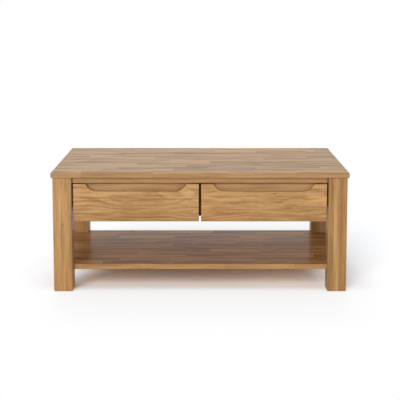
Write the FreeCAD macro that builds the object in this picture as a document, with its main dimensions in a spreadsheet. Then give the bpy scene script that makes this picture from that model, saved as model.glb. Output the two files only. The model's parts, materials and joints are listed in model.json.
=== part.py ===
"""Oak coffee table with two drawers and a lower shelf, as one parametric document in millimetres.

The origin lies on the floor under the middle of the table. X runs to the right, Y to the back and Z up,
so the drawers open towards -Y. Left and right are as seen from the front.
"""
import FreeCAD
import Part
import os
from collections import defaultdict

import Sketcher
from FreeCAD import Placement, Rotation, Vector

SIZES = (
    ("table_width", 1100, "width of the top"),
    ("table_depth", 650, "depth of the top"),
    ("table_height", 450, "floor to the upper face of the top"),
    ("top_thickness", 20, "thickness of the top"),
    ("top_side_overhang", 6, "top past the legs at the left and right"),
    ("top_end_overhang", 8, "top past the legs at the front and back"),
    ("top_edge_radius", 4, "rounding of the top's edges"),
    ("leg_size", 70, "side of the square legs"),
    ("leg_edge_radius", 2.5, "rounding of the legs' long edges"),
    ("leg_foot_chamfer", 1.5, "chamfer round the legs' lower ends"),
    ("glide_thickness", 2, "thickness of the felt glides"),
    ("glide_diameter", 45, "diameter of the felt glides"),
    ("apron_thickness", 22, "thickness of the side and back aprons"),
    ("apron_height", 147, "height of the side and back aprons"),
    ("apron_setback", 12, "aprons behind the outer faces of the legs"),
    ("apron_edge_radius", 1.5, "rounding of the aprons' lower edges"),
    ("apron_dowel_inset", 35, "apron dowels from the apron's edges"),
    ("rail_thickness", 20, "thickness of the flat rail above the drawers"),
    ("rail_depth", 62, "depth of that rail, front to back"),
    ("rail_setback", 7, "that rail behind the front faces of the legs"),
    ("rail_dowel_inset", 10, "rail dowels from the rail's front face and the legs' inner faces"),
    ("divider_thickness", 20, "thickness of the board between the drawers"),
    ("divider_height", 127, "height of that board under the rail"),
    ("divider_dowel_inset", 30, "divider dowels from the divider's edges"),
    ("divider_screw_inset", 10, "first divider screw from the divider's front edge"),
    ("batten_height", 46, "height of the battens that carry the slides"),
    ("batten_screw_inset", 65, "outer batten screws from the legs"),
    ("batten_screw_sunk", 7, "depth of the batten screws' counterbores"),
    ("batten_screw_bite", 11, "hold of the batten screws in the aprons"),
    ("shelf_thickness", 20, "thickness of the lower shelf"),
    ("shelf_height", 98, "floor to the upper face of the shelf"),
    ("shelf_end_setback", 30, "shelf behind the front and back faces of the legs"),
    ("shelf_side_setback", 10, "shelf inside the outer side faces of the legs"),
    ("shelf_edge_radius", 2, "rounding of the shelf's outer edges"),
    ("shelf_dowel_inset", 15, "shelf dowels from the shelf's outer edges"),
    ("front_thickness", 20, "thickness of the drawer fronts"),
    ("front_height", 140, "height of the drawer fronts"),
    ("front_setback", 3, "drawer fronts behind the front faces of the legs"),
    ("front_side_gap", 5, "air between a drawer front and its leg"),
    ("front_middle_gap", 8, "air between the two drawer fronts"),
    ("front_top_gap", 4, "air between the drawer fronts and the rail"),
    ("front_back_air", 1.5, "air between the drawer fronts and the frame behind them"),
    ("front_edge_radius", 1.5, "rounding of the drawer fronts' front edges"),
    ("scoop_width", 372, "width of the grip scoop at the front's upper edge"),
    ("scoop_depth", 27, "depth of the grip scoop below the front's upper edge"),
    ("scoop_end_radius", 48, "radius of the scoop's round ends"),
    ("grip_lip", 9, "thickness left at the scoop's lip, in front of the finger groove"),
    ("grip_drop", 12, "depth of the finger groove below the lip"),
    ("board_thickness", 14, "thickness of the drawer boxes' boards"),
    ("box_rise", 28, "lower edge of the drawer box above that of its front"),
    ("box_side_height", 96, "height of the drawer boxes' sides and backs"),
    ("box_rear_air", 61, "air between the drawer boxes and the back apron"),
    ("inner_front_drop", 0.5, "upper edge of the inner front below that of the front"),
    ("floor_thickness", 5, "thickness of the drawers' floors"),
    ("floor_rise", 10, "drawers' floors above the lower edges of the boxes"),
    ("floor_groove", 6, "depth of the grooves that hold the drawers' floors"),
    ("floor_play", 0.4, "play of the drawers' floors in their grooves"),
    ("slide_thickness", 12.7, "room that a drawer slide takes beside the box"),
    ("slide_rise", 46, "middle of the slides above the lower edge of the box"),
    ("slide_rear_inset", 14.5, "slides' rear ends in front of the boxes' rear ends"),
    ("slide_overlap", 130, "length of the slides still engaged with the drawer open"),
    ("slide_sheet", 1.2, "sheet thickness of the slide rails"),
    ("slide_height", 35, "outer height of the fixed slide rail"),
    ("slide_lip", 1.7, "height of the fixed rail's turned lips"),
    ("slide_side_air", 2.1, "air between the fixed rail's lips and the drawer box"),
    ("runner_back_air", 4.3, "drawer rail's flanges from the fixed rail's back"),
    ("ball_diameter", 5, "diameter of the slides' balls"),
    ("ball_play", 0.15, "play of a ball to each rail and in its cage"),
    ("ball_lip_air", 0.4, "air between the balls and the fixed rail's lips"),
    ("cage_sheet", 0.8, "sheet thickness of the ball cages"),
    ("cage_offset", 2.8, "web of the cage from the fixed rail's back"),
    ("cage_lip_air", 0.2, "air between the cage's flanges and the fixed rail's lips"),
    ("cage_end_air", 2.5, "air left at each end of the cage's run"),
    ("bumper_length", 10, "length of the rubber end stops"),
    ("bumper_height", 18, "height of the rubber end stops"),
    ("slide_screw_inset", 22, "first fixed rail screw from the rail's front end"),
    ("slide_screw_rear_inset", 98, "last fixed rail screw from the end stop"),
    ("runner_screw_inset", 62, "first drawer rail screw from the rail's front end"),
    ("runner_screw_rear_inset", 58, "last drawer rail screw from the rail's rear end"),
    ("slide_screw_stagger", 14, "right divider slide's screws behind the left one's"),
    ("dowel_diameter", 10, "diameter of the frame dowels"),
    ("dowel_length", 50, "length of the frame dowels"),
    ("peg_diameter", 6, "diameter of the small dowels in the drawers and divider"),
    ("peg_length", 28, "length of the small dowels"),
    ("peg_near_depth", 10, "depth of a small dowel in the thinner board"),
    ("peg_inset_low", 26, "lower small dowels above the box's lower edge"),
    ("peg_inset_high", 72, "upper small dowels above the box's lower edge"),
    ("dowel_play", 0.1, "glue gap round a dowel"),
    ("dowel_end_gap", 1, "room past the end of a dowel or screw"),
    ("bracket_arm", 28, "length of the top brackets' arms"),
    ("bracket_width", 20, "width of the top brackets"),
    ("bracket_sheet", 2, "thickness of the top brackets"),
    ("bracket_hole_offset", 18, "bracket screws from the bend"),
    ("bracket_inset", 90, "brackets from the legs"),
    ("wood_screw_diameter", 4, "diameter of the wood screws"),
    ("wood_screw_head", 8, "head diameter of the wood screws"),
    ("wood_screw_head_height", 2.6, "head height of the wood screws"),
    ("bracket_screw_length", 16, "length of the bracket screws"),
    ("long_screw_length", 40, "length of the divider screws"),
    ("rail_screw_length", 28, "length of the screws that hold the top to the rail"),
    ("rail_screw_inset", 110, "outer rail screws from the legs"),
    ("front_screw_length", 28, "length of the screws that hold a drawer front"),
    ("front_screw_inset", 80, "front screws from the sides of the drawer box"),
    ("front_screw_low", 30, "lower front screws above the box's lower edge"),
    ("front_screw_drop", 13, "upper front screws below the finger groove"),
    ("sunk_depth", 4, "depth of the counterbores for the wood screws"),
    ("slide_screw_diameter", 3.5, "diameter of the slide screws"),
    ("slide_screw_head", 6.5, "head diameter of the slide screws"),
    ("slide_screw_head_height", 1, "head height of the slide screws"),
    ("slide_screw_length", 9.6, "length of the slide screws"),
    ("screw_play", 0.05, "play of a screw in its hole"),
)

BALLS_PER_ROW = 8
SCREWS_PER_RAIL = 3
TOP_SCREWS = 4
SIDES = {"left": -1, "right": 1}
ENDS = {"front": -1, "back": 1}
# Two lengths closer than this are the same length
SAME = 1e-4

# Places that several pieces share, as expressions on the sheet
LEG_OUTER_X = "(Sizes.table_width / 2 - Sizes.top_side_overhang)"
LEG_INNER_X = f"({LEG_OUTER_X} - Sizes.leg_size)"
LEG_OUTER_Y = "(Sizes.table_depth / 2 - Sizes.top_end_overhang)"
LEG_INNER_Y = f"({LEG_OUTER_Y} - Sizes.leg_size)"
TOP_UNDERSIDE = "(Sizes.table_height - Sizes.top_thickness)"
APRON_BOTTOM = f"({TOP_UNDERSIDE} - Sizes.apron_height)"
APRON_INNER_X = f"({LEG_OUTER_X} - Sizes.apron_setback - Sizes.apron_thickness)"
APRON_INNER_Y = f"({LEG_OUTER_Y} - Sizes.apron_setback - Sizes.apron_thickness)"
RAIL_FRONT_Y = f"(Sizes.rail_setback - {LEG_OUTER_Y})"
RAIL_UNDERSIDE = f"({TOP_UNDERSIDE} - Sizes.rail_thickness)"
RAIL_FAR_Y = f"(-{LEG_INNER_Y} - Sizes.rail_dowel_inset)"
DIVIDER_BOTTOM = f"({RAIL_UNDERSIDE} - Sizes.divider_height)"
FRONT_TOP = f"({RAIL_UNDERSIDE} - Sizes.front_top_gap)"
FRONT_BOTTOM = f"({FRONT_TOP} - Sizes.front_height)"
FRONT_Y = f"(Sizes.front_setback - {LEG_OUTER_Y})"
BOX_FRONT_Y = f"({FRONT_Y} + Sizes.front_thickness)"
FRAME_FRONT_Y = f"({BOX_FRONT_Y} + Sizes.front_back_air)"
BOX_BACK_Y = f"({APRON_INNER_Y} - Sizes.box_rear_air)"
BOX_BOTTOM = f"({FRONT_BOTTOM} + Sizes.box_rise)"
BOX_NEAR_X = "(Sizes.divider_thickness / 2 + Sizes.slide_thickness)"
BOX_FAR_X = f"({LEG_INNER_X} - Sizes.slide_thickness)"
BOX_WIDTH = f"({BOX_FAR_X} - {BOX_NEAR_X})"
FRONT_NEAR_X = "(Sizes.front_middle_gap / 2)"
FRONT_FAR_X = f"({LEG_INNER_X} - Sizes.front_side_gap)"
FRONT_WIDTH = f"({FRONT_FAR_X} - {FRONT_NEAR_X})"
SHELF_HALF_X = f"({LEG_OUTER_X} - Sizes.shelf_side_setback)"
SHELF_HALF_Y = f"({LEG_OUTER_Y} - Sizes.shelf_end_setback)"
SHELF_MIDDLE_Z = "(Sizes.shelf_height - Sizes.shelf_thickness / 2)"
SLIDE_Z = f"({BOX_BOTTOM} + Sizes.slide_rise)"
SLIDE_LENGTH = f"({BOX_BACK_Y} - Sizes.slide_rear_inset - {FRAME_FRONT_Y})"
SLIDE_TRAVEL = f"({SLIDE_LENGTH} - Sizes.slide_overlap)"
SLIDE_REACH = "(Sizes.slide_thickness - Sizes.slide_side_air)"
LIP_INNER = f"({SLIDE_REACH} - Sizes.slide_sheet)"
BALL_OFFSET = f"({LIP_INNER} - Sizes.ball_lip_air - Sizes.ball_diameter / 2)"
BATTEN_THICKNESS = f"({APRON_INNER_X} - {LEG_INNER_X})"
CAGE_LENGTH = "(Sizes.slide_overlap - 2 * Sizes.cage_end_air)"
CAGE_FRONT_Y = f"({FRAME_FRONT_Y} + {SLIDE_TRAVEL} / 2 + Sizes.cage_end_air)"
RACE_GAP = "(Sizes.ball_diameter + 2 * Sizes.ball_play)"
RACE_HALF = "(Sizes.slide_height / 2 - Sizes.slide_sheet)"
RUNNER_HALF = f"({RACE_HALF} - {RACE_GAP})"
BALL_RISE = f"({RACE_HALF} - {RACE_GAP} / 2)"
SCOOP_RISE = "(Sizes.scoop_end_radius - Sizes.scoop_depth)"
SCOOP_END = f"sqrt(Sizes.scoop_end_radius ^ 2 - {SCOOP_RISE} ^ 2)"

TURNS = {
    "+x": Rotation(Vector(0, 1, 0), 90),
    "-x": Rotation(Vector(0, 1, 0), -90),
    "+y": Rotation(Vector(1, 0, 0), -90),
    "-y": Rotation(Vector(1, 0, 0), 90),
    "+z": Rotation(),
    "-z": Rotation(Vector(1, 0, 0), 180),
}
HALF_TURN = Rotation(Vector(0, 1, 0), 180)

doc = FreeCAD.newDocument("CoffeeTable")
sheet = doc.addObject("Spreadsheet::Sheet", "Sizes")
blanks = {}
cutters = defaultdict(list)
groups = defaultdict(list)


def fill_sheet():
    """Writes the driving sizes with their aliases and meanings."""
    for row, (alias, size, meaning) in enumerate(SIZES, start=1):
        sheet.set(f"A{row}", meaning)
        sheet.set(f"B{row}", str(size))
        sheet.setAlias(f"B{row}", alias)
    doc.recompute()


def value(expression):
    """The present number of an expression on the sheet."""
    return float(sheet.evalExpression(expression))


def bind(thing, **sizes):
    """Ties properties of an object to expressions on the sheet."""
    for name, expression in sizes.items():
        thing.setExpression(name, expression)


def place(thing, point, turn=Rotation()):
    """Puts an object's own origin at a bound point."""
    thing.Placement = Placement(Vector(), turn)
    for axis, expression in zip("xyz", point):
        thing.setExpression(f"Placement.Base.{axis}", expression)


def shifted(point, direction, distance):
    """A point moved along a direction such as +x or -z."""
    sign, axis = direction
    index = "xyz".index(axis)
    moved = list(point)
    moved[index] = f"({point[index]} {sign} {distance})"
    return tuple(moved)


def opposite(direction):
    """The direction the other way round."""
    return direction.translate(str.maketrans("+-", "-+"))


def mirrored_span(sign, near, far):
    """The lower end of a stretch from near to far on one side of the middle plane."""
    return near if sign > 0 else f"(-{far})"


def block(name, corner, lengths):
    """A rectangular block from its lowest corner."""
    solid = doc.addObject("Part::Box", name)
    bind(solid, Length=lengths[0], Width=lengths[1], Height=lengths[2])
    place(solid, corner)
    return solid


def bar(name, diameter, length, start, direction):
    """A round bar or bore that starts at a point and runs along a direction."""
    solid = doc.addObject("Part::Cylinder", name)
    bind(solid, Radius=f"{diameter} / 2", Height=length)
    place(solid, start, TURNS[direction])
    return solid


def new_sketch(body, name, role):
    """An empty sketch on one of the body's own origin planes."""
    sketch = body.newObject("Sketcher::SketchObject", name)
    plane = next(feature for feature in body.Origin.OriginFeatures if feature.Role == role)
    sketch.AttachmentSupport = [(plane, "")]
    sketch.MapMode = "FlatFace"
    return sketch


def pin(sketch, geometry, point, across, up):
    """Ties one end of a line or arc to its bound place in the sketch."""
    ways = (("DistanceX", across, -2), ("DistanceY", up, -1))
    for kind, expression, axis in ways:
        if expression == "0":
            sketch.addConstraint(Sketcher.Constraint("PointOnObject", geometry, point, axis))
            continue
        tie = Sketcher.Constraint(kind, -1, 1, geometry, point, value(expression))
        index = sketch.addConstraint(tie)
        name = f"{kind}_{geometry}_{point}"
        sketch.renameConstraint(index, name)
        sketch.setExpression(f"Constraints.{name}", expression)


def outline(body, name, role, corners):
    """A closed outline of straight lines through bound corners."""
    sketch = new_sketch(body, name, role)
    points = [Vector(value(across), value(up), 0) for across, up in corners]
    count = len(points)
    for index in range(count):
        sketch.addGeometry(Part.LineSegment(points[index], points[(index + 1) % count]))
    for index in range(count):
        following = (index + 1) % count
        sketch.addConstraint(Sketcher.Constraint("Coincident", index, 2, following, 1))
    for index, (across, up) in enumerate(corners):
        pin(sketch, index, 1, across, up)
    return sketch


def pad(body, sketch, length, flipped=False):
    """Thickens an outline into a solid."""
    feature = body.newObject("PartDesign::Pad", f"{sketch.Name}_pad")
    feature.Profile = sketch
    feature.Reversed = flipped
    bind(feature, Length=length)
    body.Tip = feature
    return feature


def ease(body, kind, size_name, expression, chosen):
    """Rounds or chamfers the edges that a test picks from the body's present shape."""
    doc.recompute()
    base = body.Tip
    names = [f"Edge{index}" for index, edge in enumerate(base.Shape.Edges, start=1) if chosen(edge)]
    feature = body.newObject(f"PartDesign::{kind}", f"{body.Name}_{kind}")
    feature.Base = (base, names)
    feature.setExpression(size_name, expression)
    body.Tip = feature


def is_flat(edge, axis, level):
    """Whether an edge lies whole at one level of an axis, such as z or y."""
    low = getattr(edge.BoundBox, f"{axis}Min")
    high = getattr(edge.BoundBox, f"{axis}Max")
    return abs(low - level) < SAME and abs(high - level) < SAME


def new_body(name, point, turn=Rotation()):
    """An empty body at a bound place."""
    body = doc.addObject("PartDesign::Body", name)
    place(body, point, turn)
    return body


def board(node, corner, lengths):
    """A rectangular board, drawn on its lower face, from its lowest corner."""
    body = new_body(f"{node}_blank", corner)
    corners = (("0", "0"), (lengths[0], "0"), (lengths[0], lengths[1]), ("0", lengths[1]))
    sketch = outline(body, f"{node}_outline", "XY_Plane", corners)
    pad(body, sketch, lengths[2])
    blanks[node] = body
    return body


def ease_board(body, lengths, axis, radius):
    """Rounds a board's two long lower edges, which run along an axis."""
    length = value(lengths["XY".index(axis)])

    def lower_long(edge):
        long_enough = abs(getattr(edge.BoundBox, f"{axis}Length") - length) < SAME
        return is_flat(edge, "Z", 0) and long_enough

    ease(body, "Fillet", "Radius", radius, lower_long)


def make_top():
    """The top, rounded all round."""
    corner = ("-Sizes.table_width / 2", "-Sizes.table_depth / 2", TOP_UNDERSIDE)
    lengths = ("Sizes.table_width", "Sizes.table_depth", "Sizes.top_thickness")
    body = board("table_top", corner, lengths)
    ease(body, "Fillet", "Radius", "Sizes.top_edge_radius", lambda edge: True)


def make_legs():
    """Four square legs, each on a felt glide."""
    height = f"{TOP_UNDERSIDE} - Sizes.glide_thickness"
    for end, depth_sign in ENDS.items():
        for side, sign in SIDES.items():
            node = f"{end}_{side}_leg"
            x = mirrored_span(sign, LEG_INNER_X, LEG_OUTER_X)
            y = mirrored_span(depth_sign, LEG_INNER_Y, LEG_OUTER_Y)
            lengths = ("Sizes.leg_size", "Sizes.leg_size", height)
            body = board(node, (x, y, "Sizes.glide_thickness"), lengths)
            ease(body, "Fillet", "Radius", "Sizes.leg_edge_radius",
                 lambda edge: edge.BoundBox.ZLength > SAME)
            ease(body, "Chamfer", "Size", "Sizes.leg_foot_chamfer",
                 lambda edge: is_flat(edge, "Z", 0))
            glide = (f"{x} + Sizes.leg_size / 2", f"{y} + Sizes.leg_size / 2", "0")
            felt = bar(f"{node}_glide", "Sizes.glide_diameter", "Sizes.glide_thickness", glide, "+z")
            groups["felt_glides"].append(felt)


def make_aprons():
    """The side and back aprons, doweled between the legs."""
    for side, sign in SIDES.items():
        node = f"{side}_apron"
        outer = f"({APRON_INNER_X} + Sizes.apron_thickness)"
        corner = (mirrored_span(sign, APRON_INNER_X, outer), f"-{LEG_INNER_Y}", APRON_BOTTOM)
        lengths = ("Sizes.apron_thickness", f"2 * {LEG_INNER_Y}", "Sizes.apron_height")
        body = board(node, corner, lengths)
        ease_board(body, lengths, "Y", "Sizes.apron_edge_radius")
        across = f"({corner[0]} + Sizes.apron_thickness / 2)"
        for end, depth_sign in ENDS.items():
            for height in apron_dowel_heights():
                point = (across, f"{depth_sign} * {LEG_INNER_Y}", height)
                dowel("frame_dowels", (node, f"{end}_{side}_leg"), point, "y")
    corner = (f"-{LEG_INNER_X}", APRON_INNER_Y, APRON_BOTTOM)
    lengths = (f"2 * {LEG_INNER_X}", "Sizes.apron_thickness", "Sizes.apron_height")
    body = board("back_apron", corner, lengths)
    ease_board(body, lengths, "X", "Sizes.apron_edge_radius")
    for side, sign in SIDES.items():
        for height in apron_dowel_heights():
            point = (f"{sign} * {LEG_INNER_X}", f"{APRON_INNER_Y} + Sizes.apron_thickness / 2", height)
            dowel("frame_dowels", ("back_apron", f"back_{side}_leg"), point, "x")


def apron_dowel_heights():
    """The two heights of the dowels in an apron's end."""
    low = f"{APRON_BOTTOM} + Sizes.apron_dowel_inset"
    high = f"{TOP_UNDERSIDE} - Sizes.apron_dowel_inset"
    return low, high


def make_rail():
    """The flat rail above the drawers, between the front legs."""
    corner = (f"-{LEG_INNER_X}", RAIL_FRONT_Y, RAIL_UNDERSIDE)
    lengths = (f"2 * {LEG_INNER_X}", "Sizes.rail_depth", "Sizes.rail_thickness")
    board("front_rail", corner, lengths)
    height = f"{RAIL_UNDERSIDE} + Sizes.rail_thickness / 2"
    for side, sign in SIDES.items():
        for depth in (f"{RAIL_FRONT_Y} + Sizes.rail_dowel_inset", RAIL_FAR_Y):
            point = (f"{sign} * {LEG_INNER_X}", depth, height)
            dowel("frame_dowels", ("front_rail", f"front_{side}_leg"), point, "x")
    seat = f"{RAIL_UNDERSIDE} + Sizes.sunk_depth"
    reach = f"({LEG_INNER_X} - Sizes.rail_screw_inset)"
    for index in range(TOP_SCREWS):
        share = 2 * index / (TOP_SCREWS - 1) - 1
        spot = (f"{share} * {reach}", f"{RAIL_FRONT_Y} + Sizes.rail_depth / 2", seat)
        drive("top_screws", "rail_screw", ("front_rail", "table_top"), spot, "+z", "Sizes.sunk_depth")


def make_divider():
    """The upright board between the drawers, under the rail and against the back apron."""
    corner = ("-Sizes.divider_thickness / 2", FRAME_FRONT_Y, DIVIDER_BOTTOM)
    lengths = ("Sizes.divider_thickness", f"{APRON_INNER_Y} - {FRAME_FRONT_Y}", "Sizes.divider_height")
    board("centre_divider", corner, lengths)
    seat = f"{TOP_UNDERSIDE} - Sizes.sunk_depth"
    for depth in (f"{FRAME_FRONT_Y} + Sizes.divider_screw_inset", RAIL_FAR_Y):
        boards = ("front_rail", "centre_divider")
        drive("divider_screws", "long_screw", boards, ("0", depth, seat), "-z", "Sizes.sunk_depth")
    low = f"{DIVIDER_BOTTOM} + Sizes.divider_dowel_inset"
    high = f"{RAIL_UNDERSIDE} - Sizes.divider_dowel_inset"
    for height in (low, high):
        boards = ("centre_divider", "back_apron")
        far_depth = "(Sizes.peg_length - Sizes.peg_near_depth)"
        dowel("divider_pegs", boards, ("0", APRON_INNER_Y, height), "y", "peg", far_depth)


def make_battens():
    """The battens that bring the slides level with the legs' inner faces."""
    bottom = f"{SLIDE_Z} - Sizes.batten_height / 2"
    for side, sign in SIDES.items():
        node = f"{side}_slide_batten"
        corner = (mirrored_span(sign, LEG_INNER_X, APRON_INNER_X), f"-{LEG_INNER_Y}", bottom)
        board(node, corner, (BATTEN_THICKNESS, f"2 * {LEG_INNER_Y}", "Sizes.batten_height"))
        sunk = "Sizes.batten_screw_sunk"
        seat = f"{sign} * ({LEG_INNER_X} + {sunk})"
        way = "+x" if sign > 0 else "-x"
        reach = f"({LEG_INNER_Y} - Sizes.batten_screw_inset)"
        between = f"({slide_screw_depth(1)} + {slide_screw_depth(2)}) / 2"
        for depth in (f"-{reach}", between, reach):
            boards = (node, f"{side}_apron")
            drive("batten_screws", "batten_screw", boards, (seat, depth, SLIDE_Z), way, sunk)


def make_shelf():
    """The lower shelf, notched round the legs and doweled to them."""
    body = new_body("lower_shelf_blank", (f"-{SHELF_HALF_X}", f"-{SHELF_HALF_Y}",
                                          "Sizes.shelf_height - Sizes.shelf_thickness"))
    width = f"(2 * {SHELF_HALF_X})"
    depth = f"(2 * {SHELF_HALF_Y})"
    notch_x = f"({SHELF_HALF_X} - {LEG_INNER_X})"
    notch_y = f"({SHELF_HALF_Y} - {LEG_INNER_Y})"
    right_x = f"({width} - {notch_x})"
    back_y = f"({depth} - {notch_y})"
    corners = ((notch_x, "0"), (right_x, "0"), (right_x, notch_y), (width, notch_y),
               (width, back_y), (right_x, back_y), (right_x, depth), (notch_x, depth),
               (notch_x, back_y), ("0", back_y), ("0", notch_y), (notch_x, notch_y))
    pad(body, outline(body, "lower_shelf_outline", "XY_Plane", corners), "Sizes.shelf_thickness")
    levels = (("X", 0), ("X", value(width)), ("Y", 0), ("Y", value(depth)))

    def outer_long(edge):
        lies_out = any(is_flat(edge, axis, level) for axis, level in levels)
        return lies_out and edge.BoundBox.ZLength < SAME

    ease(body, "Fillet", "Radius", "Sizes.shelf_edge_radius", outer_long)
    blanks["lower_shelf"] = body
    for end, depth_sign in ENDS.items():
        for side, sign in SIDES.items():
            boards = ("lower_shelf", f"{end}_{side}_leg")
            along_x = (f"{sign} * {LEG_INNER_X}",
                       f"{depth_sign} * ({SHELF_HALF_Y} - Sizes.shelf_dowel_inset)", SHELF_MIDDLE_Z)
            along_y = (f"{sign} * ({SHELF_HALF_X} - Sizes.shelf_dowel_inset)",
                       f"{depth_sign} * {LEG_INNER_Y}", SHELF_MIDDLE_Z)
            dowel("shelf_dowels", boards, along_x, "x")
            dowel("shelf_dowels", boards, along_y, "y")


def dowel(node, boards, point, axis, kind="dowel", low_depth="(Sizes.dowel_length / 2)"):
    """A dowel through a joint's face, and its bore in both boards."""
    index = len(groups[node])
    start = shifted(point, f"-{axis}", low_depth)
    length = f"Sizes.{kind}_length"
    diameter = f"Sizes.{kind}_diameter"
    groups[node].append(bar(f"{node}_{index}", diameter, length, start, f"+{axis}"))
    bore_start = shifted(start, f"-{axis}", "Sizes.dowel_end_gap")
    bore_length = f"{length} + 2 * Sizes.dowel_end_gap"
    bore_diameter = f"({diameter} + 2 * Sizes.dowel_play)"
    bore = bar(f"{node}_bore_{index}", bore_diameter, bore_length, bore_start, f"+{axis}")
    for name in boards:
        cutters[name].append(bore)


def make_screw(name, family, length):
    """One screw, turned about Z, with the top of its head at its origin."""
    body = new_body(name, ("0", "0", "0"))
    head = f"(Sizes.{family}_head / 2)"
    shank = f"(Sizes.{family}_diameter / 2)"
    seat = f"Sizes.{family}_head_height"
    tip = f"({seat} + {length})"
    corners = (("0", "0"), (f"({head} - {seat} / 2)", "0"), (head, f"({seat} / 2)"), (head, seat),
               (shank, seat), (shank, f"({tip} - 2 * {shank})"), ("0", tip))
    sketch = outline(body, f"{name}_profile", "XZ_Plane", corners)
    feature = body.newObject("PartDesign::Revolution", f"{name}_turn")
    feature.Profile = sketch
    feature.ReferenceAxis = (sketch, ["V_Axis"])
    feature.Angle = 360
    body.Tip = feature
    return {"body": body, "family": family, "length": length}


def make_screws():
    """The kinds of screw that hold the table together."""
    wood = {"bracket_screw": "Sizes.bracket_screw_length", "long_screw": "Sizes.long_screw_length",
            "rail_screw": "Sizes.rail_screw_length", "front_screw": "Sizes.front_screw_length",
            "batten_screw": f"({BATTEN_THICKNESS} - Sizes.batten_screw_sunk + Sizes.batten_screw_bite)"}
    kinds = {name: make_screw(name, "wood_screw", length) for name, length in wood.items()}
    kinds["slide_screw"] = make_screw("slide_screw", "slide_screw", "Sizes.slide_screw_length")
    return kinds


def drive(node, kind, boards, seat, direction, sunk=None):
    """A screw whose head sits at a point, with its hole in every board and its counterbore in the first."""
    screw = screw_kinds[kind]
    family = screw["family"]
    index = len(groups[node])
    link = doc.addObject("App::Link", f"{node}_{index}")
    link.LinkedObject = screw["body"]
    place(link, shifted(seat, opposite(direction), f"Sizes.{family}_head_height"), TURNS[direction])
    groups[node].append(link)
    play = "2 * Sizes.screw_play"
    bore = bar(f"{node}_bore_{index}", f"(Sizes.{family}_diameter + {play})",
               f"{screw['length']} + Sizes.dowel_end_gap", seat, direction)
    for name in boards:
        cutters[name].append(bore)
    if sunk:
        start = shifted(seat, opposite(direction), sunk)
        wide = bar(f"{node}_sunk_{index}", f"(Sizes.{family}_head + {play})", sunk, start, direction)
        cutters[boards[0]].append(wide)


def make_brackets():
    """Angle brackets that hold the top to the side and back aprons."""
    body = new_body("bracket", ("0", "0", "0"))
    arm = "Sizes.bracket_arm"
    sheet_size = "Sizes.bracket_sheet"
    inner = f"({arm} - {sheet_size})"
    corners = (("0", "0"), (sheet_size, "0"), (sheet_size, inner), (arm, inner), (arm, arm), ("0", arm))
    pad(body, outline(body, "bracket_profile", "XZ_Plane", corners), "Sizes.bracket_width", True)
    ease(body, "Fillet", "Radius", sheet_size, is_bracket_bend)
    hole = "(Sizes.wood_screw_diameter + 2 * Sizes.screw_play)"
    half = "Sizes.bracket_width / 2"
    reach = "Sizes.bracket_hole_offset"
    sideways = bar("bracket_side_hole", hole, sheet_size, ("0", half, f"{arm} - {reach}"), "+x")
    upwards = bar("bracket_top_hole", hole, sheet_size, (reach, half, inner), "+z")
    drilled = subtract("bracket_drilled", body, [sideways, upwards])
    spots = [("left", f"{sign} * ({LEG_INNER_Y} - Sizes.bracket_inset)") for sign in (-1, 1)]
    spots += [("right", spot) for name, spot in spots]
    spots += [("back", f"{sign} * ({LEG_INNER_X} - Sizes.bracket_inset)") for sign in (-1, 1)]
    for index, (apron, along) in enumerate(spots):
        set_bracket(drilled, index, apron, along)


def is_bracket_bend(edge):
    """Whether an edge is the inner corner of the bracket's bend."""
    inner = value("Sizes.bracket_arm") - value("Sizes.bracket_sheet")
    return is_flat(edge, "X", value("Sizes.bracket_sheet")) and is_flat(edge, "Z", inner)


def set_bracket(drilled, index, apron, along):
    """One bracket on an apron's inner face, with its two screws."""
    half = "Sizes.bracket_width / 2"
    base = f"{TOP_UNDERSIDE} - Sizes.bracket_arm"
    reach = "Sizes.bracket_hole_offset"
    faces = {
        "left": ((f"-{APRON_INNER_X}", f"{along} - {half}", base), 0, "-x", "+x"),
        "right": ((APRON_INNER_X, f"{along} + {half}", base), 180, "+x", "-x"),
        "back": ((f"{along} - {half}", APRON_INNER_Y, base), -90, "+y", "-y"),
    }
    corner, angle, into, away = faces[apron]
    link = doc.addObject("App::Link", f"bracket_{index}")
    link.LinkedObject = drilled
    place(link, corner, Rotation(Vector(0, 0, 1), angle))
    groups["top_brackets"].append(link)
    bend = list(corner)
    bend[0 if apron == "back" else 1] = along
    side_seat = shifted(bend, away, "Sizes.bracket_sheet")
    side_seat = shifted(side_seat, "+z", f"(Sizes.bracket_arm - {reach})")
    drive("bracket_screws", "bracket_screw", (f"{apron}_apron",), side_seat, into)
    top_seat = shifted(bend, away, reach)
    top_seat = shifted(top_seat, "+z", "(Sizes.bracket_arm - Sizes.bracket_sheet)")
    drive("bracket_screws", "bracket_screw", ("table_top",), top_seat, "+z")


def subtract(name, base, tools):
    """A piece with its holes and grooves cut out."""
    tool = doc.addObject("Part::Compound", f"{name}_tools")
    tool.Links = tools
    result = doc.addObject("Part::Cut", name)
    result.Base = base
    result.Tool = tool
    return result


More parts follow.
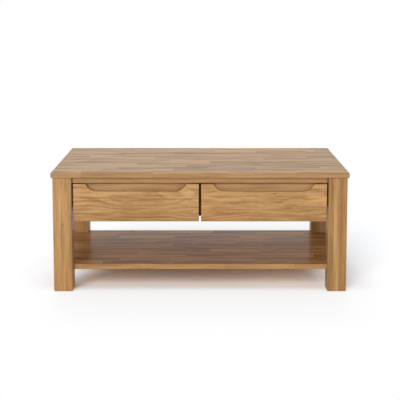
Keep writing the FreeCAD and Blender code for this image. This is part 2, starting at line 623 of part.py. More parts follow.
def scoop(body, name, drop):
    """The outline of the grip scoop in a drawer front, lowered and widened by a drop."""
    sketch = new_sketch(body, name, "XZ_Plane")
    radius = f"(Sizes.scoop_end_radius + {drop})"
    reach = f"sqrt({radius} ^ 2 - {SCOOP_RISE} ^ 2)"
    flat = f"(Sizes.scoop_width / 2 - {SCOOP_END})"
    centre = f"({FRONT_WIDTH} / 2)"
    low = f"(Sizes.front_height - Sizes.scoop_depth - {drop})"
    above = "(Sizes.front_height + Sizes.scoop_depth)"
    left = f"({centre} - {flat})"
    right = f"({centre} + {flat})"
    left_top = f"({left} - {reach})"
    right_top = f"({right} + {reach})"
    corners = ((left, low), (right, low), (right_top, "Sizes.front_height"), (right_top, above),
               (left_top, above), (left_top, "Sizes.front_height"))
    points = [Vector(value(across), value(up), 0) for across, up in corners]
    size = value(radius)
    rise = Vector(0, size, 0)
    slope = (points[2] - points[1] - rise).normalize()
    lean = (slope - Vector(0, 1, 0)).normalize()
    right_middle = points[1] + rise + lean * size
    left_middle = points[0] + rise + Vector(-lean.x, lean.y, 0) * size
    shapes = (Part.LineSegment(points[0], points[1]), Part.Arc(points[1], right_middle, points[2]),
              Part.LineSegment(points[2], points[3]), Part.LineSegment(points[3], points[4]),
              Part.LineSegment(points[4], points[5]), Part.Arc(points[5], left_middle, points[0]))
    for shape in shapes:
        sketch.addGeometry(shape)
    count = len(shapes)
    for index in range(count):
        following = (index + 1) % count
        sketch.addConstraint(Sketcher.Constraint("Coincident", index, 2, following, 1))
    for index in (0, 2, 3, 4):
        pin(sketch, index, 1, *corners[index])
    pin(sketch, 4, 2, *corners[5])
    pin(sketch, 0, 2, *corners[1])
    for arc in (1, 5):
        tie = sketch.addConstraint(Sketcher.Constraint("Radius", arc, size))
        sketch.renameConstraint(tie, f"Radius_{arc}")
        sketch.setExpression(f"Constraints.Radius_{arc}", radius)
    return sketch


def pocket(body, sketch, depth, flipped):
    """Cuts an outline into the body to a bound depth."""
    doc.recompute()
    before = body.Tip.Shape.Volume
    feature = body.newObject("PartDesign::Pocket", f"{sketch.Name}_pocket")
    feature.Profile = sketch
    feature.Reversed = flipped
    bind(feature, Length=depth)
    body.Tip = feature
    doc.recompute()
    if not feature.Shape.Volume < before:
        raise RuntimeError(f"{feature.Name} cuts nothing")


def make_front(node, sign):
    """A drawer front with its grip scoop and the finger groove behind the scoop's lip."""
    body = new_body(f"{node}_blank", (mirrored_span(sign, FRONT_NEAR_X, FRONT_FAR_X), FRONT_Y, FRONT_BOTTOM))
    height = "Sizes.front_height"
    corners = (("0", "0"), (FRONT_WIDTH, "0"), (FRONT_WIDTH, height), ("0", height))
    pad(body, outline(body, f"{node}_outline", "XZ_Plane", corners), "Sizes.front_thickness", True)
    pocket(body, scoop(body, f"{node}_scoop", "0"), "Sizes.front_thickness", False)
    groove = scoop(body, f"{node}_groove", "Sizes.grip_drop")
    groove.setExpression("AttachmentOffset.Base.z", "-Sizes.front_thickness")
    pocket(body, groove, "(Sizes.front_thickness - Sizes.grip_lip)", True)
    ease(body, "Fillet", "Radius", "Sizes.front_edge_radius", lambda edge: is_flat(edge, "Y", 0))
    blanks[node] = body


def make_drawer(side, sign):
    """One drawer: its front, its box of boards and floor, and its screws and dowels."""
    drawer = f"{side}_drawer"
    names = {key: f"{drawer}_{key}" for key in ("front", "inner_front", "leg_side", "middle_side",
                                                "back", "floor")}
    thickness = "Sizes.board_thickness"
    side_y = f"({BOX_FRONT_Y} + {thickness})"
    back_y = f"({BOX_BACK_Y} - {thickness})"
    box_x = mirrored_span(sign, BOX_NEAR_X, BOX_FAR_X)
    inside = f"({BOX_WIDTH} - 2 * {thickness})"
    make_front(names["front"], sign)
    inner_height = f"({FRONT_TOP} - Sizes.inner_front_drop - {BOX_BOTTOM})"
    board(names["inner_front"], (box_x, BOX_FRONT_Y, BOX_BOTTOM), (BOX_WIDTH, thickness, inner_height))
    leg_x = mirrored_span(sign, f"({BOX_FAR_X} - {thickness})", BOX_FAR_X)
    middle_x = mirrored_span(sign, BOX_NEAR_X, f"({BOX_NEAR_X} + {thickness})")
    for key, x in (("leg_side", leg_x), ("middle_side", middle_x)):
        lengths = (thickness, f"{BOX_BACK_Y} - {side_y}", "Sizes.box_side_height")
        board(names[key], (x, side_y, BOX_BOTTOM), lengths)
        join_side(drawer, names, key, f"({x} + {thickness} / 2)", x, sign)
    back_corner = (f"({box_x} + {thickness})", back_y, BOX_BOTTOM)
    board(names["back"], back_corner, (inside, thickness, "Sizes.box_side_height"))
    make_floor(names, box_x)
    fasten_front(drawer, names, box_x)


def join_side(drawer, names, key, middle_x, low_x, sign):
    """The small dowels from a drawer side into the inner front and the back."""
    node = f"{drawer}_pegs"
    near = "Sizes.peg_near_depth"
    far = "(Sizes.peg_length - Sizes.peg_near_depth)"
    thickness = "Sizes.board_thickness"
    on_low_x = (key == "middle_side") == (sign > 0)
    face_x = f"({low_x} + {thickness})" if on_low_x else low_x
    for inset in ("Sizes.peg_inset_low", "Sizes.peg_inset_high"):
        height = f"{BOX_BOTTOM} + {inset}"
        front_point = (middle_x, f"({BOX_FRONT_Y} + {thickness})", height)
        dowel(node, (names["inner_front"], names[key]), front_point, "y", "peg", near)
        back_point = (face_x, f"({BOX_BACK_Y} - {thickness} / 2)", height)
        dowel(node, (names[key], names["back"]), back_point, "x", "peg", near if on_low_x else far)


def make_floor(names, box_x):
    """The drawer's floor, and the grooves that hold it in the four boards."""
    inset = "(Sizes.board_thickness - Sizes.floor_groove)"
    play = "Sizes.floor_play"
    low = (f"({box_x} + {inset})", f"({BOX_FRONT_Y} + {inset})", f"{BOX_BOTTOM} + Sizes.floor_rise")
    width = f"({BOX_WIDTH} - 2 * {inset})"
    depth = f"({BOX_BACK_Y} - {BOX_FRONT_Y} - 2 * {inset})"
    groove = block(f"{names['floor']}_groove", low, (width, depth, f"Sizes.floor_thickness + {play}"))
    for key in ("inner_front", "leg_side", "middle_side", "back"):
        cutters[names[key]].append(groove)
    corner = (f"{low[0]} + {play}", f"{low[1]} + {play}", low[2])
    board(names["floor"], corner, (f"{width} - 2 * {play}", f"{depth} - 2 * {play}", "Sizes.floor_thickness"))


def fasten_front(drawer, names, box_x):
    """The screws that hold the front to the box, driven from inside the drawer."""
    seat_y = f"({BOX_FRONT_Y} + Sizes.board_thickness)"
    places = ("Sizes.front_screw_inset", f"({BOX_WIDTH} - Sizes.front_screw_inset)")
    low = f"{BOX_BOTTOM} + Sizes.front_screw_low"
    high = f"{FRONT_TOP} - Sizes.scoop_depth - Sizes.grip_drop - Sizes.front_screw_drop"
    for across in places:
        for height in (low, high):
            seat = (f"({box_x} + {across})", seat_y, height)
            boards = (names["inner_front"], names["front"])
            drive(f"{drawer}_front_screws", "front_screw", boards, seat, "-y")


def make_slide(side, post, wall, facing, carriers, stagger="0"):
    """One drawer slide: fixed rail, drawer rail, ball cage, balls, end stop and screws.

    wall is the X of the face that carries the fixed rail, facing is the way from there to the drawer,
    carriers are the boards behind the fixed rail at its screws, from front to back, and stagger moves
    those screws back.
    """
    name = f"{side}_{post}"
    turn = Rotation() if facing == "+x" else HALF_TURN
    sheet_size = "Sizes.slide_sheet"
    start = (wall, FRAME_FRONT_Y, SLIDE_Z)
    fixed = channel(f"{name}_fixed_rail", "Sizes.slide_height", "0", SLIDE_REACH, sheet_size)
    lip_fixed_rail(fixed)
    pad_rail(fixed, start, turn, f"({SLIDE_LENGTH} + Sizes.bumper_length)")
    runner_reach = "(Sizes.slide_thickness - Sizes.runner_back_air)"
    runner = channel(f"{name}_drawer_rail", f"(2 * {RUNNER_HALF})", "Sizes.runner_back_air",
                     runner_reach, sheet_size, True)
    pad_rail(runner, start, turn, SLIDE_LENGTH)
    cage_height = f"(2 * {BALL_RISE} + Sizes.cage_sheet)"
    cage_reach = f"({LIP_INNER} - Sizes.cage_lip_air - Sizes.cage_offset)"
    cage = channel(f"{name}_ball_cage", cage_height, "Sizes.cage_offset", cage_reach, "Sizes.cage_sheet")
    pad_rail(cage, (wall, CAGE_FRONT_Y, SLIDE_Z), turn, CAGE_LENGTH)
    fill_cage(side, name, wall, facing)
    stop = (shifted(start, facing, sheet_size)[0], f"({FRAME_FRONT_Y} + {SLIDE_LENGTH})",
            f"{SLIDE_Z} - Sizes.bumper_height / 2")
    stop_reach = f"({LIP_INNER} - {sheet_size})"
    if facing == "-x":
        stop = shifted(stop, "-x", stop_reach)
    bumper = block(f"{name}_end_stop", stop, (stop_reach, "Sizes.bumper_length", "Sizes.bumper_height"))
    groups["slide_end_stops"].append(bumper)
    screw_slide(side, post, name, wall, facing, carriers, stagger)


def channel(node, height, web, reach, sheet_size, open_to_wall=False):
    """The bound corners of a C profile, with its web at the wall or at its far side."""
    half = f"({height} / 2)"
    inner = f"({half} - {sheet_size})"
    near = web
    far = f"({web} + {reach})"
    back, mouth = (far, near) if open_to_wall else (near, far)
    step = f"({back} - {sheet_size})" if open_to_wall else f"({back} + {sheet_size})"
    profile = [(back, f"-{half}"), (mouth, f"-{half}"), (mouth, f"-{inner}"), (step, f"-{inner}"),
               (step, inner), (mouth, inner), (mouth, half), (back, half)]
    return {"node": node, "profile": profile}


def lip_fixed_rail(fixed):
    """Adds the turned lips that keep the balls in the fixed rail."""
    half = "(Sizes.slide_height / 2)"
    tip = f"({half} - Sizes.slide_sheet - Sizes.slide_lip)"
    inner = f"({half} - Sizes.slide_sheet)"
    profile = fixed["profile"]
    upper = [(LIP_INNER, inner), (LIP_INNER, tip), (SLIDE_REACH, tip)]
    lower = [(SLIDE_REACH, f"-{tip}"), (LIP_INNER, f"-{tip}"), (LIP_INNER, f"-{inner}")]
    fixed["profile"] = profile[:2] + lower + profile[3:5] + upper + profile[6:]


def pad_rail(rail, start, turn, length):
    """Draws a rail out along Y from its profile, which is raised to lie above the sketch's axis."""
    node = rail["node"]
    raise_by = "Sizes.slide_height"
    turned = turn.multVec(Vector(0, 0, 1)).z < 0
    point = shifted(start, "+z" if turned else "-z", raise_by)
    body = new_body(f"{node}_blank", point, turn)
    corners = [(across, f"({up} + {raise_by})") for across, up in rail["profile"]]
    pad(body, outline(body, f"{node}_profile", "XZ_Plane", corners), length, True)
    blanks[node] = body


def fill_cage(side, name, wall, facing):
    """The balls of a slide in two rows, and their holes in the cage."""
    across = shifted((wall, "0", "0"), facing, BALL_OFFSET)[0]
    for index in range(BALLS_PER_ROW):
        along = f"({CAGE_FRONT_Y} + {CAGE_LENGTH} * {index + 1} / {BALLS_PER_ROW + 1})"
        for row, sign in (("low", "-"), ("high", "+")):
            height = f"({SLIDE_Z} {sign} {BALL_RISE})"
            ball = doc.addObject("Part::Sphere", f"{name}_{row}_ball_{index}")
            bind(ball, Radius="Sizes.ball_diameter / 2")
            place(ball, (across, along, height))
            groups[f"{side}_slide_balls"].append(ball)
            low_end = f"({height} - {RACE_GAP} / 2)"
            bore = bar(f"{name}_{row}_ball_bore_{index}", RACE_GAP, RACE_GAP, (across, along, low_end), "+z")
            cutters[f"{name}_ball_cage"].append(bore)


def slide_screw_depth(index):
    """The place along Y of a fixed rail's screw, counted from the front."""
    step = screw_step("Sizes.slide_screw_inset", "Sizes.slide_screw_rear_inset")
    return f"({FRAME_FRONT_Y} + Sizes.slide_screw_inset + {index} * {step})"


def runner_screw_depth(index):
    """The place along Y of a drawer rail's screw, counted from the front."""
    step = screw_step("Sizes.runner_screw_inset", "Sizes.runner_screw_rear_inset")
    return f"({FRAME_FRONT_Y} + Sizes.runner_screw_inset + {index} * {step})"


def screw_step(front_inset, rear_inset):
    """The distance between a rail's screws, spread evenly over its length."""
    return f"(({SLIDE_LENGTH} - {front_inset} - {rear_inset}) / {SCREWS_PER_RAIL - 1})"


def screw_slide(side, post, name, wall, facing, carriers, stagger):
    """The screws of a slide: the fixed rail to the frame, the drawer rail to the box."""
    fixed_seat = shifted((wall, "0", "0"), facing, "Sizes.slide_sheet")[0]
    runner_seat = shifted((wall, "0", "0"), facing, "(Sizes.slide_thickness - Sizes.slide_sheet)")[0]
    for index in range(SCREWS_PER_RAIL):
        boards = (f"{name}_fixed_rail", carriers[index])
        seat = (fixed_seat, f"({slide_screw_depth(index)} + {stagger})", SLIDE_Z)
        drive("slide_screws", "slide_screw", boards, seat, opposite(facing))
        boards = (f"{name}_drawer_rail", f"{side}_drawer_{post}_side")
        seat = (runner_seat, runner_screw_depth(index), SLIDE_Z)
        drive(f"{side}_drawer_rail_screws", "slide_screw", boards, seat, facing)


def make_slides(side, sign):
    """The two slides of one drawer, at the leg and at the divider."""
    batten = f"{side}_slide_batten"
    outward, inward = ("+x", "-x") if sign > 0 else ("-x", "+x")
    leg_carriers = (f"front_{side}_leg", batten, batten)
    make_slide(side, "leg", f"({sign} * {LEG_INNER_X})", inward, leg_carriers)
    divider_face = f"({sign} * Sizes.divider_thickness / 2)"
    stagger = "Sizes.slide_screw_stagger" if sign > 0 else "0"
    make_slide(side, "middle", divider_face, outward, ("centre_divider",) * SCREWS_PER_RAIL, stagger)


def finish_pieces():
    """Cuts each blank with its holes and grooves, and groups the repeated pieces."""
    pieces = {}
    for node, blank in blanks.items():
        pieces[node] = subtract(f"{node}_cut", blank, cutters[node]) if cutters[node] else blank
    for node, members in groups.items():
        pieces[node] = doc.addObject("Part::Compound", f"{node}_group")
        pieces[node].Links = members
    doc.recompute()
    for node, piece in pieces.items():
        piece.Label = node
    return pieces


def check(pieces):
    """Stops on a failed object, an empty or broken shape, or a piece that fell apart."""
    failed = [thing.Name for thing in doc.Objects if {"Invalid", "Error"} & set(thing.State)]
    if failed:
        raise RuntimeError(f"failed objects: {failed}")
    for node, piece in pieces.items():
        shape = piece.Shape
        expected = len(groups[node]) if node in groups else 1
        if shape.isNull() or not shape.isValid():
            raise RuntimeError(f"{node} has no valid shape")
        if len(shape.Solids) != expected or piece.Label != node:
            raise RuntimeError(f"{node} has {len(shape.Solids)} solids, not {expected}")


fill_sheet()
screw_kinds = make_screws()
make_top()
make_legs()
make_aprons()
make_rail()
make_divider()
make_battens()
make_shelf()
make_brackets()
for drawer_side, drawer_sign in SIDES.items():
    make_drawer(drawer_side, drawer_sign)
    make_slides(drawer_side, drawer_sign)
finished = finish_pieces()
check(finished)
os.makedirs("parts", exist_ok=True)
for node_name, node_piece in finished.items():
    node_piece.Shape.exportStep(f"parts/{node_name}.step")
print(f"{len(finished)} nodes, {sum(len(piece.Shape.Solids) for piece in finished.values())} solids")
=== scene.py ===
"""Oak coffee table with two drawers and a lower shelf, finished for display on a plain white stage."""
import json
import math

import bmesh
import bpy
from bpy.props import FloatProperty, FloatVectorProperty, IntProperty, PointerProperty
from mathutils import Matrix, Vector

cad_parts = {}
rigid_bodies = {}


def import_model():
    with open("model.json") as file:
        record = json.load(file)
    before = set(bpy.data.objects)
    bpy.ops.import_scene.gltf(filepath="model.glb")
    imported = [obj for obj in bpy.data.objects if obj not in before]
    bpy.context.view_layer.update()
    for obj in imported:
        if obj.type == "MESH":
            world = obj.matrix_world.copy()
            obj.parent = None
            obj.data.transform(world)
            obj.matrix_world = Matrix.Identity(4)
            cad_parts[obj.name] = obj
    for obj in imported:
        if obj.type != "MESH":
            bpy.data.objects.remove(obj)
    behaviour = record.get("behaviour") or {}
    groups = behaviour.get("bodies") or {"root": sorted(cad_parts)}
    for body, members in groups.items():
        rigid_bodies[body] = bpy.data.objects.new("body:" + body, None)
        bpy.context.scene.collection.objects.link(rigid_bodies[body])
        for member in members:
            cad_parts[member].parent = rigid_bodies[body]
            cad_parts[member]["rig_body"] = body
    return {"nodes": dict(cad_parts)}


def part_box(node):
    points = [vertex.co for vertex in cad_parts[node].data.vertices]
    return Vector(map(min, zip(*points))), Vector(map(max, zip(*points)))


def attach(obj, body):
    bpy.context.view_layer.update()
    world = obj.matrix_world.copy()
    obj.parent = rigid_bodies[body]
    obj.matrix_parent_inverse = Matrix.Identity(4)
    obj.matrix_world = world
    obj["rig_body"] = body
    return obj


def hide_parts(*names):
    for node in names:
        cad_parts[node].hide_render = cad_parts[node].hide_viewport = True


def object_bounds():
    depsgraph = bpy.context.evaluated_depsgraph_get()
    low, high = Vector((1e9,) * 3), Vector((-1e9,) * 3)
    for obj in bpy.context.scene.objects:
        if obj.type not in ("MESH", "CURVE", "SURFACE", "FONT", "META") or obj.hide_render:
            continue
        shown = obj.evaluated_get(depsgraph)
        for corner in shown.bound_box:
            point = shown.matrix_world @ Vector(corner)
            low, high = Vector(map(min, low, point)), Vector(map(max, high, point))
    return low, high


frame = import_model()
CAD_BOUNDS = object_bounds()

bl_info = {
    "name": "Oak Coffee Table",
    "version": (1, 0, 0),
    "blender": (4, 5, 0),
    "location": "View3D > Sidebar > Coffee Table",
    "description": "Finishes an oak coffee table with drawers and sets it on a white stage",
    "category": "Object",
}

RIGHT_ANGLE = math.pi / 2
WHITE = (1.0, 1.0, 1.0, 1.0)
SIDES = ("left", "right")
FRAME_SCREWS = ("divider_screws", "top_screws", "batten_screws", "bracket_screws", "slide_screws")
FRAME_DOWELS = ("frame_dowels", "shelf_dowels", "divider_pegs")

# Grain directions of a board: along the grain, across its face and through its thickness
FLAT_ALONG_X = "xyz"
UPRIGHT_ALONG_X = "xzy"
UPRIGHT_ALONG_Y = "yzx"
POST = "zxy"

# Glued strips of a board: the seams as shares of its width, and a tone for each strip
TWO_BOARDS = ((0.48,), (-0.02, 0.03))
LEG_STRIPS = {
    "front_left_leg": ((0.44,), (0.02, -0.06)),
    "front_right_leg": ((0.28, 0.59), (-0.18, 0.02, -0.20)),
    "back_left_leg": ((0.35, 0.68), (-0.10, -0.17, -0.08)),
    "back_right_leg": ((0.5,), (-0.14, -0.09)),
}
FRONT_STRIPS = {
    "left_drawer_front": ((0.22, 0.62), (-0.10, 0.0, 0.09)),
    "right_drawer_front": ((0.33, 0.69), (-0.10, 0.0, -0.01)),
}

# Boards of a drawer box: grain directions, and the seed of the left drawer's board; the right one's lies a
# step further
BOX_BOARDS = {
    "leg_side": (UPRIGHT_ALONG_Y, 59.0),
    "middle_side": (UPRIGHT_ALONG_Y, 62.0),
    "back": (UPRIGHT_ALONG_X, 55.0),
    "floor": (FLAT_ALONG_X, 56.0),
}
BOX_SEED_STEP = 7.0

# Knots, streaks and patches, and painted shade on the rail: place along and across from the board's middle,
# length, width and darkness, which is below zero for a pale patch
MARKS = {
    "front_left_leg": (
        (0.038, 0.0015, 0.010, 0.0035, 0.7),
        (0.17, -0.006, 0.14, 0.009, -0.45),
        (0.19, 0.015, 0.05, 0.011, 0.35),
        (-0.17, 0.024, 0.10, 0.012, -0.40),
    ),
    "front_right_leg": (
        (0.105, 0.024, 0.045, 0.004, 0.25),
        (-0.14, -0.022, 0.18, 0.022, 0.35),
    ),
    "left_drawer_front": (
        (-0.17, 0.017, 0.065, 0.0022, 0.8),
        (0.02, -0.022, 0.16, 0.022, 0.25),
        (-0.02, 0.026, 0.14, 0.014, 0.35),
        (-0.20, 0.004, 0.07, 0.016, -0.40),
        (0.21, 0.006, 0.05, 0.012, -0.30),
    ),
    "right_drawer_front": (
        (0.038, 0.034, 0.008, 0.0045, 0.9),
        (0.110, 0.018, 0.010, 0.005, 0.3),
        (0.20, 0.015, 0.08, 0.028, -0.50),
        (-0.20, 0.004, 0.08, 0.032, -0.30),
        (0.10, -0.013, 0.12, 0.011, 0.28),
        (-0.09, -0.052, 0.06, 0.013, -0.35),
        (0.10, -0.052, 0.10, 0.012, 0.20),
        (-0.21, -0.052, 0.03, 0.012, 0.30),
    ),
    # Painted shade at both ends of the rail, under the top and beside the legs, and painted shadow lines at
    # its joints with the legs
    "front_rail": (
        (-0.47, 0.0, 0.40, 0.50, 0.26),
        (0.48, 0.0, 0.34, 0.50, 0.30),
        (-0.474, 0.0, 0.009, 0.50, 1.1),
        (0.474, 0.0, 0.009, 0.50, 1.1),
    ),
}
# Share of a mark's radius within which it has its full darkness, and how far a full mark darkens the wood
MARK_CORE = 0.15
MARK_DEPTH = 0.55

# Extent of the trunk that boards are cut from: along, across and through
TRUNK = (9.0, 5.0, 5.0)
# Width within which the pith lies to either side, its least depth below a board's middle, and the range of
# its depth
PITH_SPREAD = 0.09
PITH_NEAREST = 0.03
PITH_DEPTH = 0.07
# Wander of the growth rings: cells per metre along and across the grain, detail of the noise, and reach
RING_WANDER = (
    (2.0, 7.0, 1.0, 0.050),
    (14.0, 60.0, 2.0, 0.006),
)
# Shares of a ring at which its early wood ends and the next ring's starts, and the pores left in late wood
EARLY_END = 0.45
EARLY_START = 0.86
LATE_PORES = 0.3

# Figure of the wood: cells per metre along and across the grain, detail and swirl of the noise, and the two
# levels between which it rises from 0 to 1
FIGURE = {
    "band": (2.2, 75.0, 2.0, 0.0, 0.30, 0.72),
    "streak": (6.0, 170.0, 2.0, 0.0, 0.36, 0.66),
    "fibre": (14.0, 620.0, 2.0, 0.0, 0.28, 0.74),
    "pore": (60.0, 2100.0, 1.0, 0.0, 0.60, 0.72),
    "fleck": (26.0, 85.0, 2.0, 0.8, 0.48, 0.70),
    "ribbon": (3.0, 36.0, 1.0, 0.0, 0.32, 0.68),
    "blush": (2.4, 30.0, 1.0, 0.0, 0.42, 0.72),
}
# How much each part of the figure darkens, warms, roughens and raises the wood
DARKENING = {"rings": 0.34, "band": 0.28, "streak": 0.32, "fibre": 0.14, "pores": 0.14, "flecks": -0.16}
WARMING = {"board": 0.2, "blush": 0.35, "End Grain": 0.6, "Tone": -3.0}
ROUGHENING = {"fibre": 0.07, "pores": 0.16, "End Grain": 0.12}
RAISING = {"fibre": 0.35, "pores": -0.9, "early": -0.25, "Mark": -0.3}
# Shade taken off all wood, the cast of warm wood, and how far end grain is darker
PALENESS = 0.09
WARM_CAST = (1.0, 0.88, 0.74, 1.0)
END_SHADE = 0.26

# Scatter of the staves' ends, shift from row to row, and steps between the numbers that seed the pieces
STAVE_SCATTER = 0.75
ROW_SHIFT = 31.0
ROW_STEP = 17.3
STAVE_STEP = 3.1
STRIP_STEP = 89.0
# Added to a number for a second draw from it, and the weight of a whole row's tone beside its staves' own
SECOND_DRAW = 0.5
ROW_TONE = 0.4
# How far the differences between staves are evened out on the panel's long edges
EDGE_CALM = 0.75

# Shares of a face's normal between which it comes to count as square to an axis
SQUARE_TO_AXIS = (0.25, 0.85)
# Fades of details: two distances, and the strength at each
GLUE_LINE = (0.0002, 0.0009, 0.42, 0.0)
# Fade of the worn edges, where the wood is rougher and darkened with painted shade
WORN_SHADED_EDGE = (0.0, 0.0045, 1.0, 0.0)
# Fade of the painted shade on the lip and curved ends of the drawer grips
GRIP_RIM_FADE = (0.0015, 0.0040, 0.0, 0.6)
# Fade of the painted shade on the divider's front edge, for the gap between the drawers
GAP_SHADE_FADE = (0.0005, 0.0020, 0.9, 0.0)
# Surface of the wood and of its lacquer
# Darkening of the edges, which is painted shade, and their extra roughness from wear
PAINTED_EDGE_SHADE = 0.30
RUBBED_ROUGHNESS = 0.06
WOOD_SPECULAR = 0.06
LACQUER_ROUGHNESS = 0.20
GRAIN_BUMP = 0.15
GRAIN_DEPTH = 0.0003

# Fine marks of rolled, tumbled and plated metal: cells per metre on each axis
ROLLED_MARKS = (2600.0, 9.0, 2600.0)
TUMBLED_MARKS = (500.0, 500.0, 500.0)
PLATED_MARKS = (900.0, 900.0, 900.0)
# Two kinds of screw: flat ones in the slides' rails, and the others
RAIL_SCREW = {"Head Height": 0.0010, "Shank Diameter": 0.0035}
WOOD_SCREW = {"Head Height": 0.0026, "Shank Diameter": 0.0040}

# Light on the floor under the shelf's ends: the end's way on X, how far from the middle the light starts,
# and how far its start moves outwards for each metre towards the front, from a bend near the middle on
END_LIGHTS = (
    (-1.0, 0.325, 0.50),
    (1.0, 0.387, 0.126),
)
END_LIGHT_BEND = -0.03
END_LIGHT_WIDTH = 0.20
# Widths of the fades before the front, at the table's outline and from the shaded to the open floor
FRONT_LIGHT_WIDTH = 0.09
OUTLINE_WIDTH = 0.02
SHADE_WIDTH = 0.20

# Settings that many properties share
COLOUR = {"subtype": "COLOR", "min": 0.0, "max": 1.0}
BRIGHT_COLOUR = {"subtype": "COLOR", "min": 0.0, "max": 4.0}
SHARE = {"subtype": "FACTOR", "min": 0.0, "max": 1.0}


class Wire:
    """A number that flows through a node tree; arithmetic on wires adds the nodes that do it."""

    def __init__(self, socket):
        self.socket = socket

    def calc(self, operation, *others):
        """The result of a Math node on this wire and others."""
        node = self.socket.id_data.nodes.new("ShaderNodeMath")
        node.operation = operation
        for slot, term in zip(node.inputs, (self, *others)):
            feed(slot, term)
        return Wire(node.outputs[0])

    def __add__(self, other):
        return self.calc("ADD", other)

    def __radd__(self, other):
        return self.calc("ADD", other)

    def __sub__(self, other):
        return self.calc("SUBTRACT", other)

    def __rsub__(self, other):
        return self.calc("MULTIPLY_ADD", -1.0, other)

    def __mul__(self, other):
        return self.calc("MULTIPLY", other)

    def __truediv__(self, other):
        return self.calc("DIVIDE", other)

    def __neg__(self):
        return self.calc("MULTIPLY", -1.0)

    def __abs__(self):
        return self.calc("ABSOLUTE")

    def step(self, low, high, start=0.0, end=1.0, course="SMOOTHSTEP"):
        """A step from start to end while this wire goes from low to high, smooth unless told otherwise."""
        limits = {"Value": self, "From Min": low, "From Max": high, "To Min": start, "To Max": end}
        node = add_node(self.socket.id_data, "ShaderNodeMapRange", limits, interpolation_type=course)
        return Wire(node.outputs["Result"])


def lowest(wire, *others):
    """The lowest of a wire and others."""
    for other in others:
        wire = wire.calc("MINIMUM", other)
    return wire


def highest(wire, *others):
    """The highest of a wire and others."""
    for other in others:
        wire = wire.calc("MAXIMUM", other)
    return wire


def weighted(wires, weights):
    """The sum of named wires, each times its weight."""
    return sum(wires[name] * weight for name, weight in weights.items())


def feed(socket, given):
    """Links a socket to a wire or another socket, or sets its value."""
    if isinstance(given, Wire):
        given = given.socket
    if isinstance(given, bpy.types.NodeSocket):
        socket.id_data.links.new(given, socket)
    else:
        socket.default_value = given


def add_node(tree, kind, inputs=None, **options):
    """Adds a node with its options set and its inputs filled."""
    node = tree.nodes.new(kind)
    for name, option in options.items():
        setattr(node, name, option)
    for key, given in (inputs or {}).items():
        feed(node.inputs[key], given)
    return node


def new_group(name, kind, inputs, outputs):
    """An empty node group with named inputs and outputs, and its two end nodes."""
    tree = bpy.data.node_groups.new(name, kind)
    for title, socket_kind in inputs:
        tree.interface.new_socket(title, in_out="INPUT", socket_type=socket_kind)
    for title, socket_kind in outputs:
        tree.interface.new_socket(title, in_out="OUTPUT", socket_type=socket_kind)
    return tree, tree.nodes.new("NodeGroupInput"), tree.nodes.new("NodeGroupOutput")


def coordinates(tree, kind):
    """A place, a normal or a direction, as a vector."""
    return add_node(tree, "ShaderNodeTexCoord").outputs[kind]


def combine(tree, x, y, z):
    """Three wires as one vector."""
    return add_node(tree, "ShaderNodeCombineXYZ", {"X": x, "Y": y, "Z": z}).outputs["Vector"]


def split(tree, vector):
    """The three wires of a vector."""
    return [Wire(socket) for socket in add_node(tree, "ShaderNodeSeparateXYZ", {"Vector": vector}).outputs]


def stretched_noise(tree, place, stretch, detail=2.0, swirl=0.0):
    """Smooth noise whose cells are stretched by their number per metre along each direction."""
    scaled = add_node(tree, "ShaderNodeVectorMath", {0: place, 1: stretch}, operation="MULTIPLY")
    inputs = {"Vector": scaled.outputs["Vector"], "Scale": 1.0, "Detail": detail, "Distortion": swirl}
    return Wire(add_node(tree, "ShaderNodeTexNoise", inputs).outputs["Fac"])


def opaque(colour):
    """A colour with full cover."""
    return (*colour, 1.0)


def blend(tree, share, first, second, mode="MIX"):
    """Two colours mixed by a share."""
    node = add_node(tree, "ShaderNodeMix", data_type="RGBA", blend_type=mode)
    feed(node.inputs["Factor"], share)
    colours = [socket for socket in node.inputs if socket.type == "RGBA"]
    feed(colours[0], first)
    feed(colours[1], second)
    return next(socket for socket in node.outputs if socket.type == "RGBA")


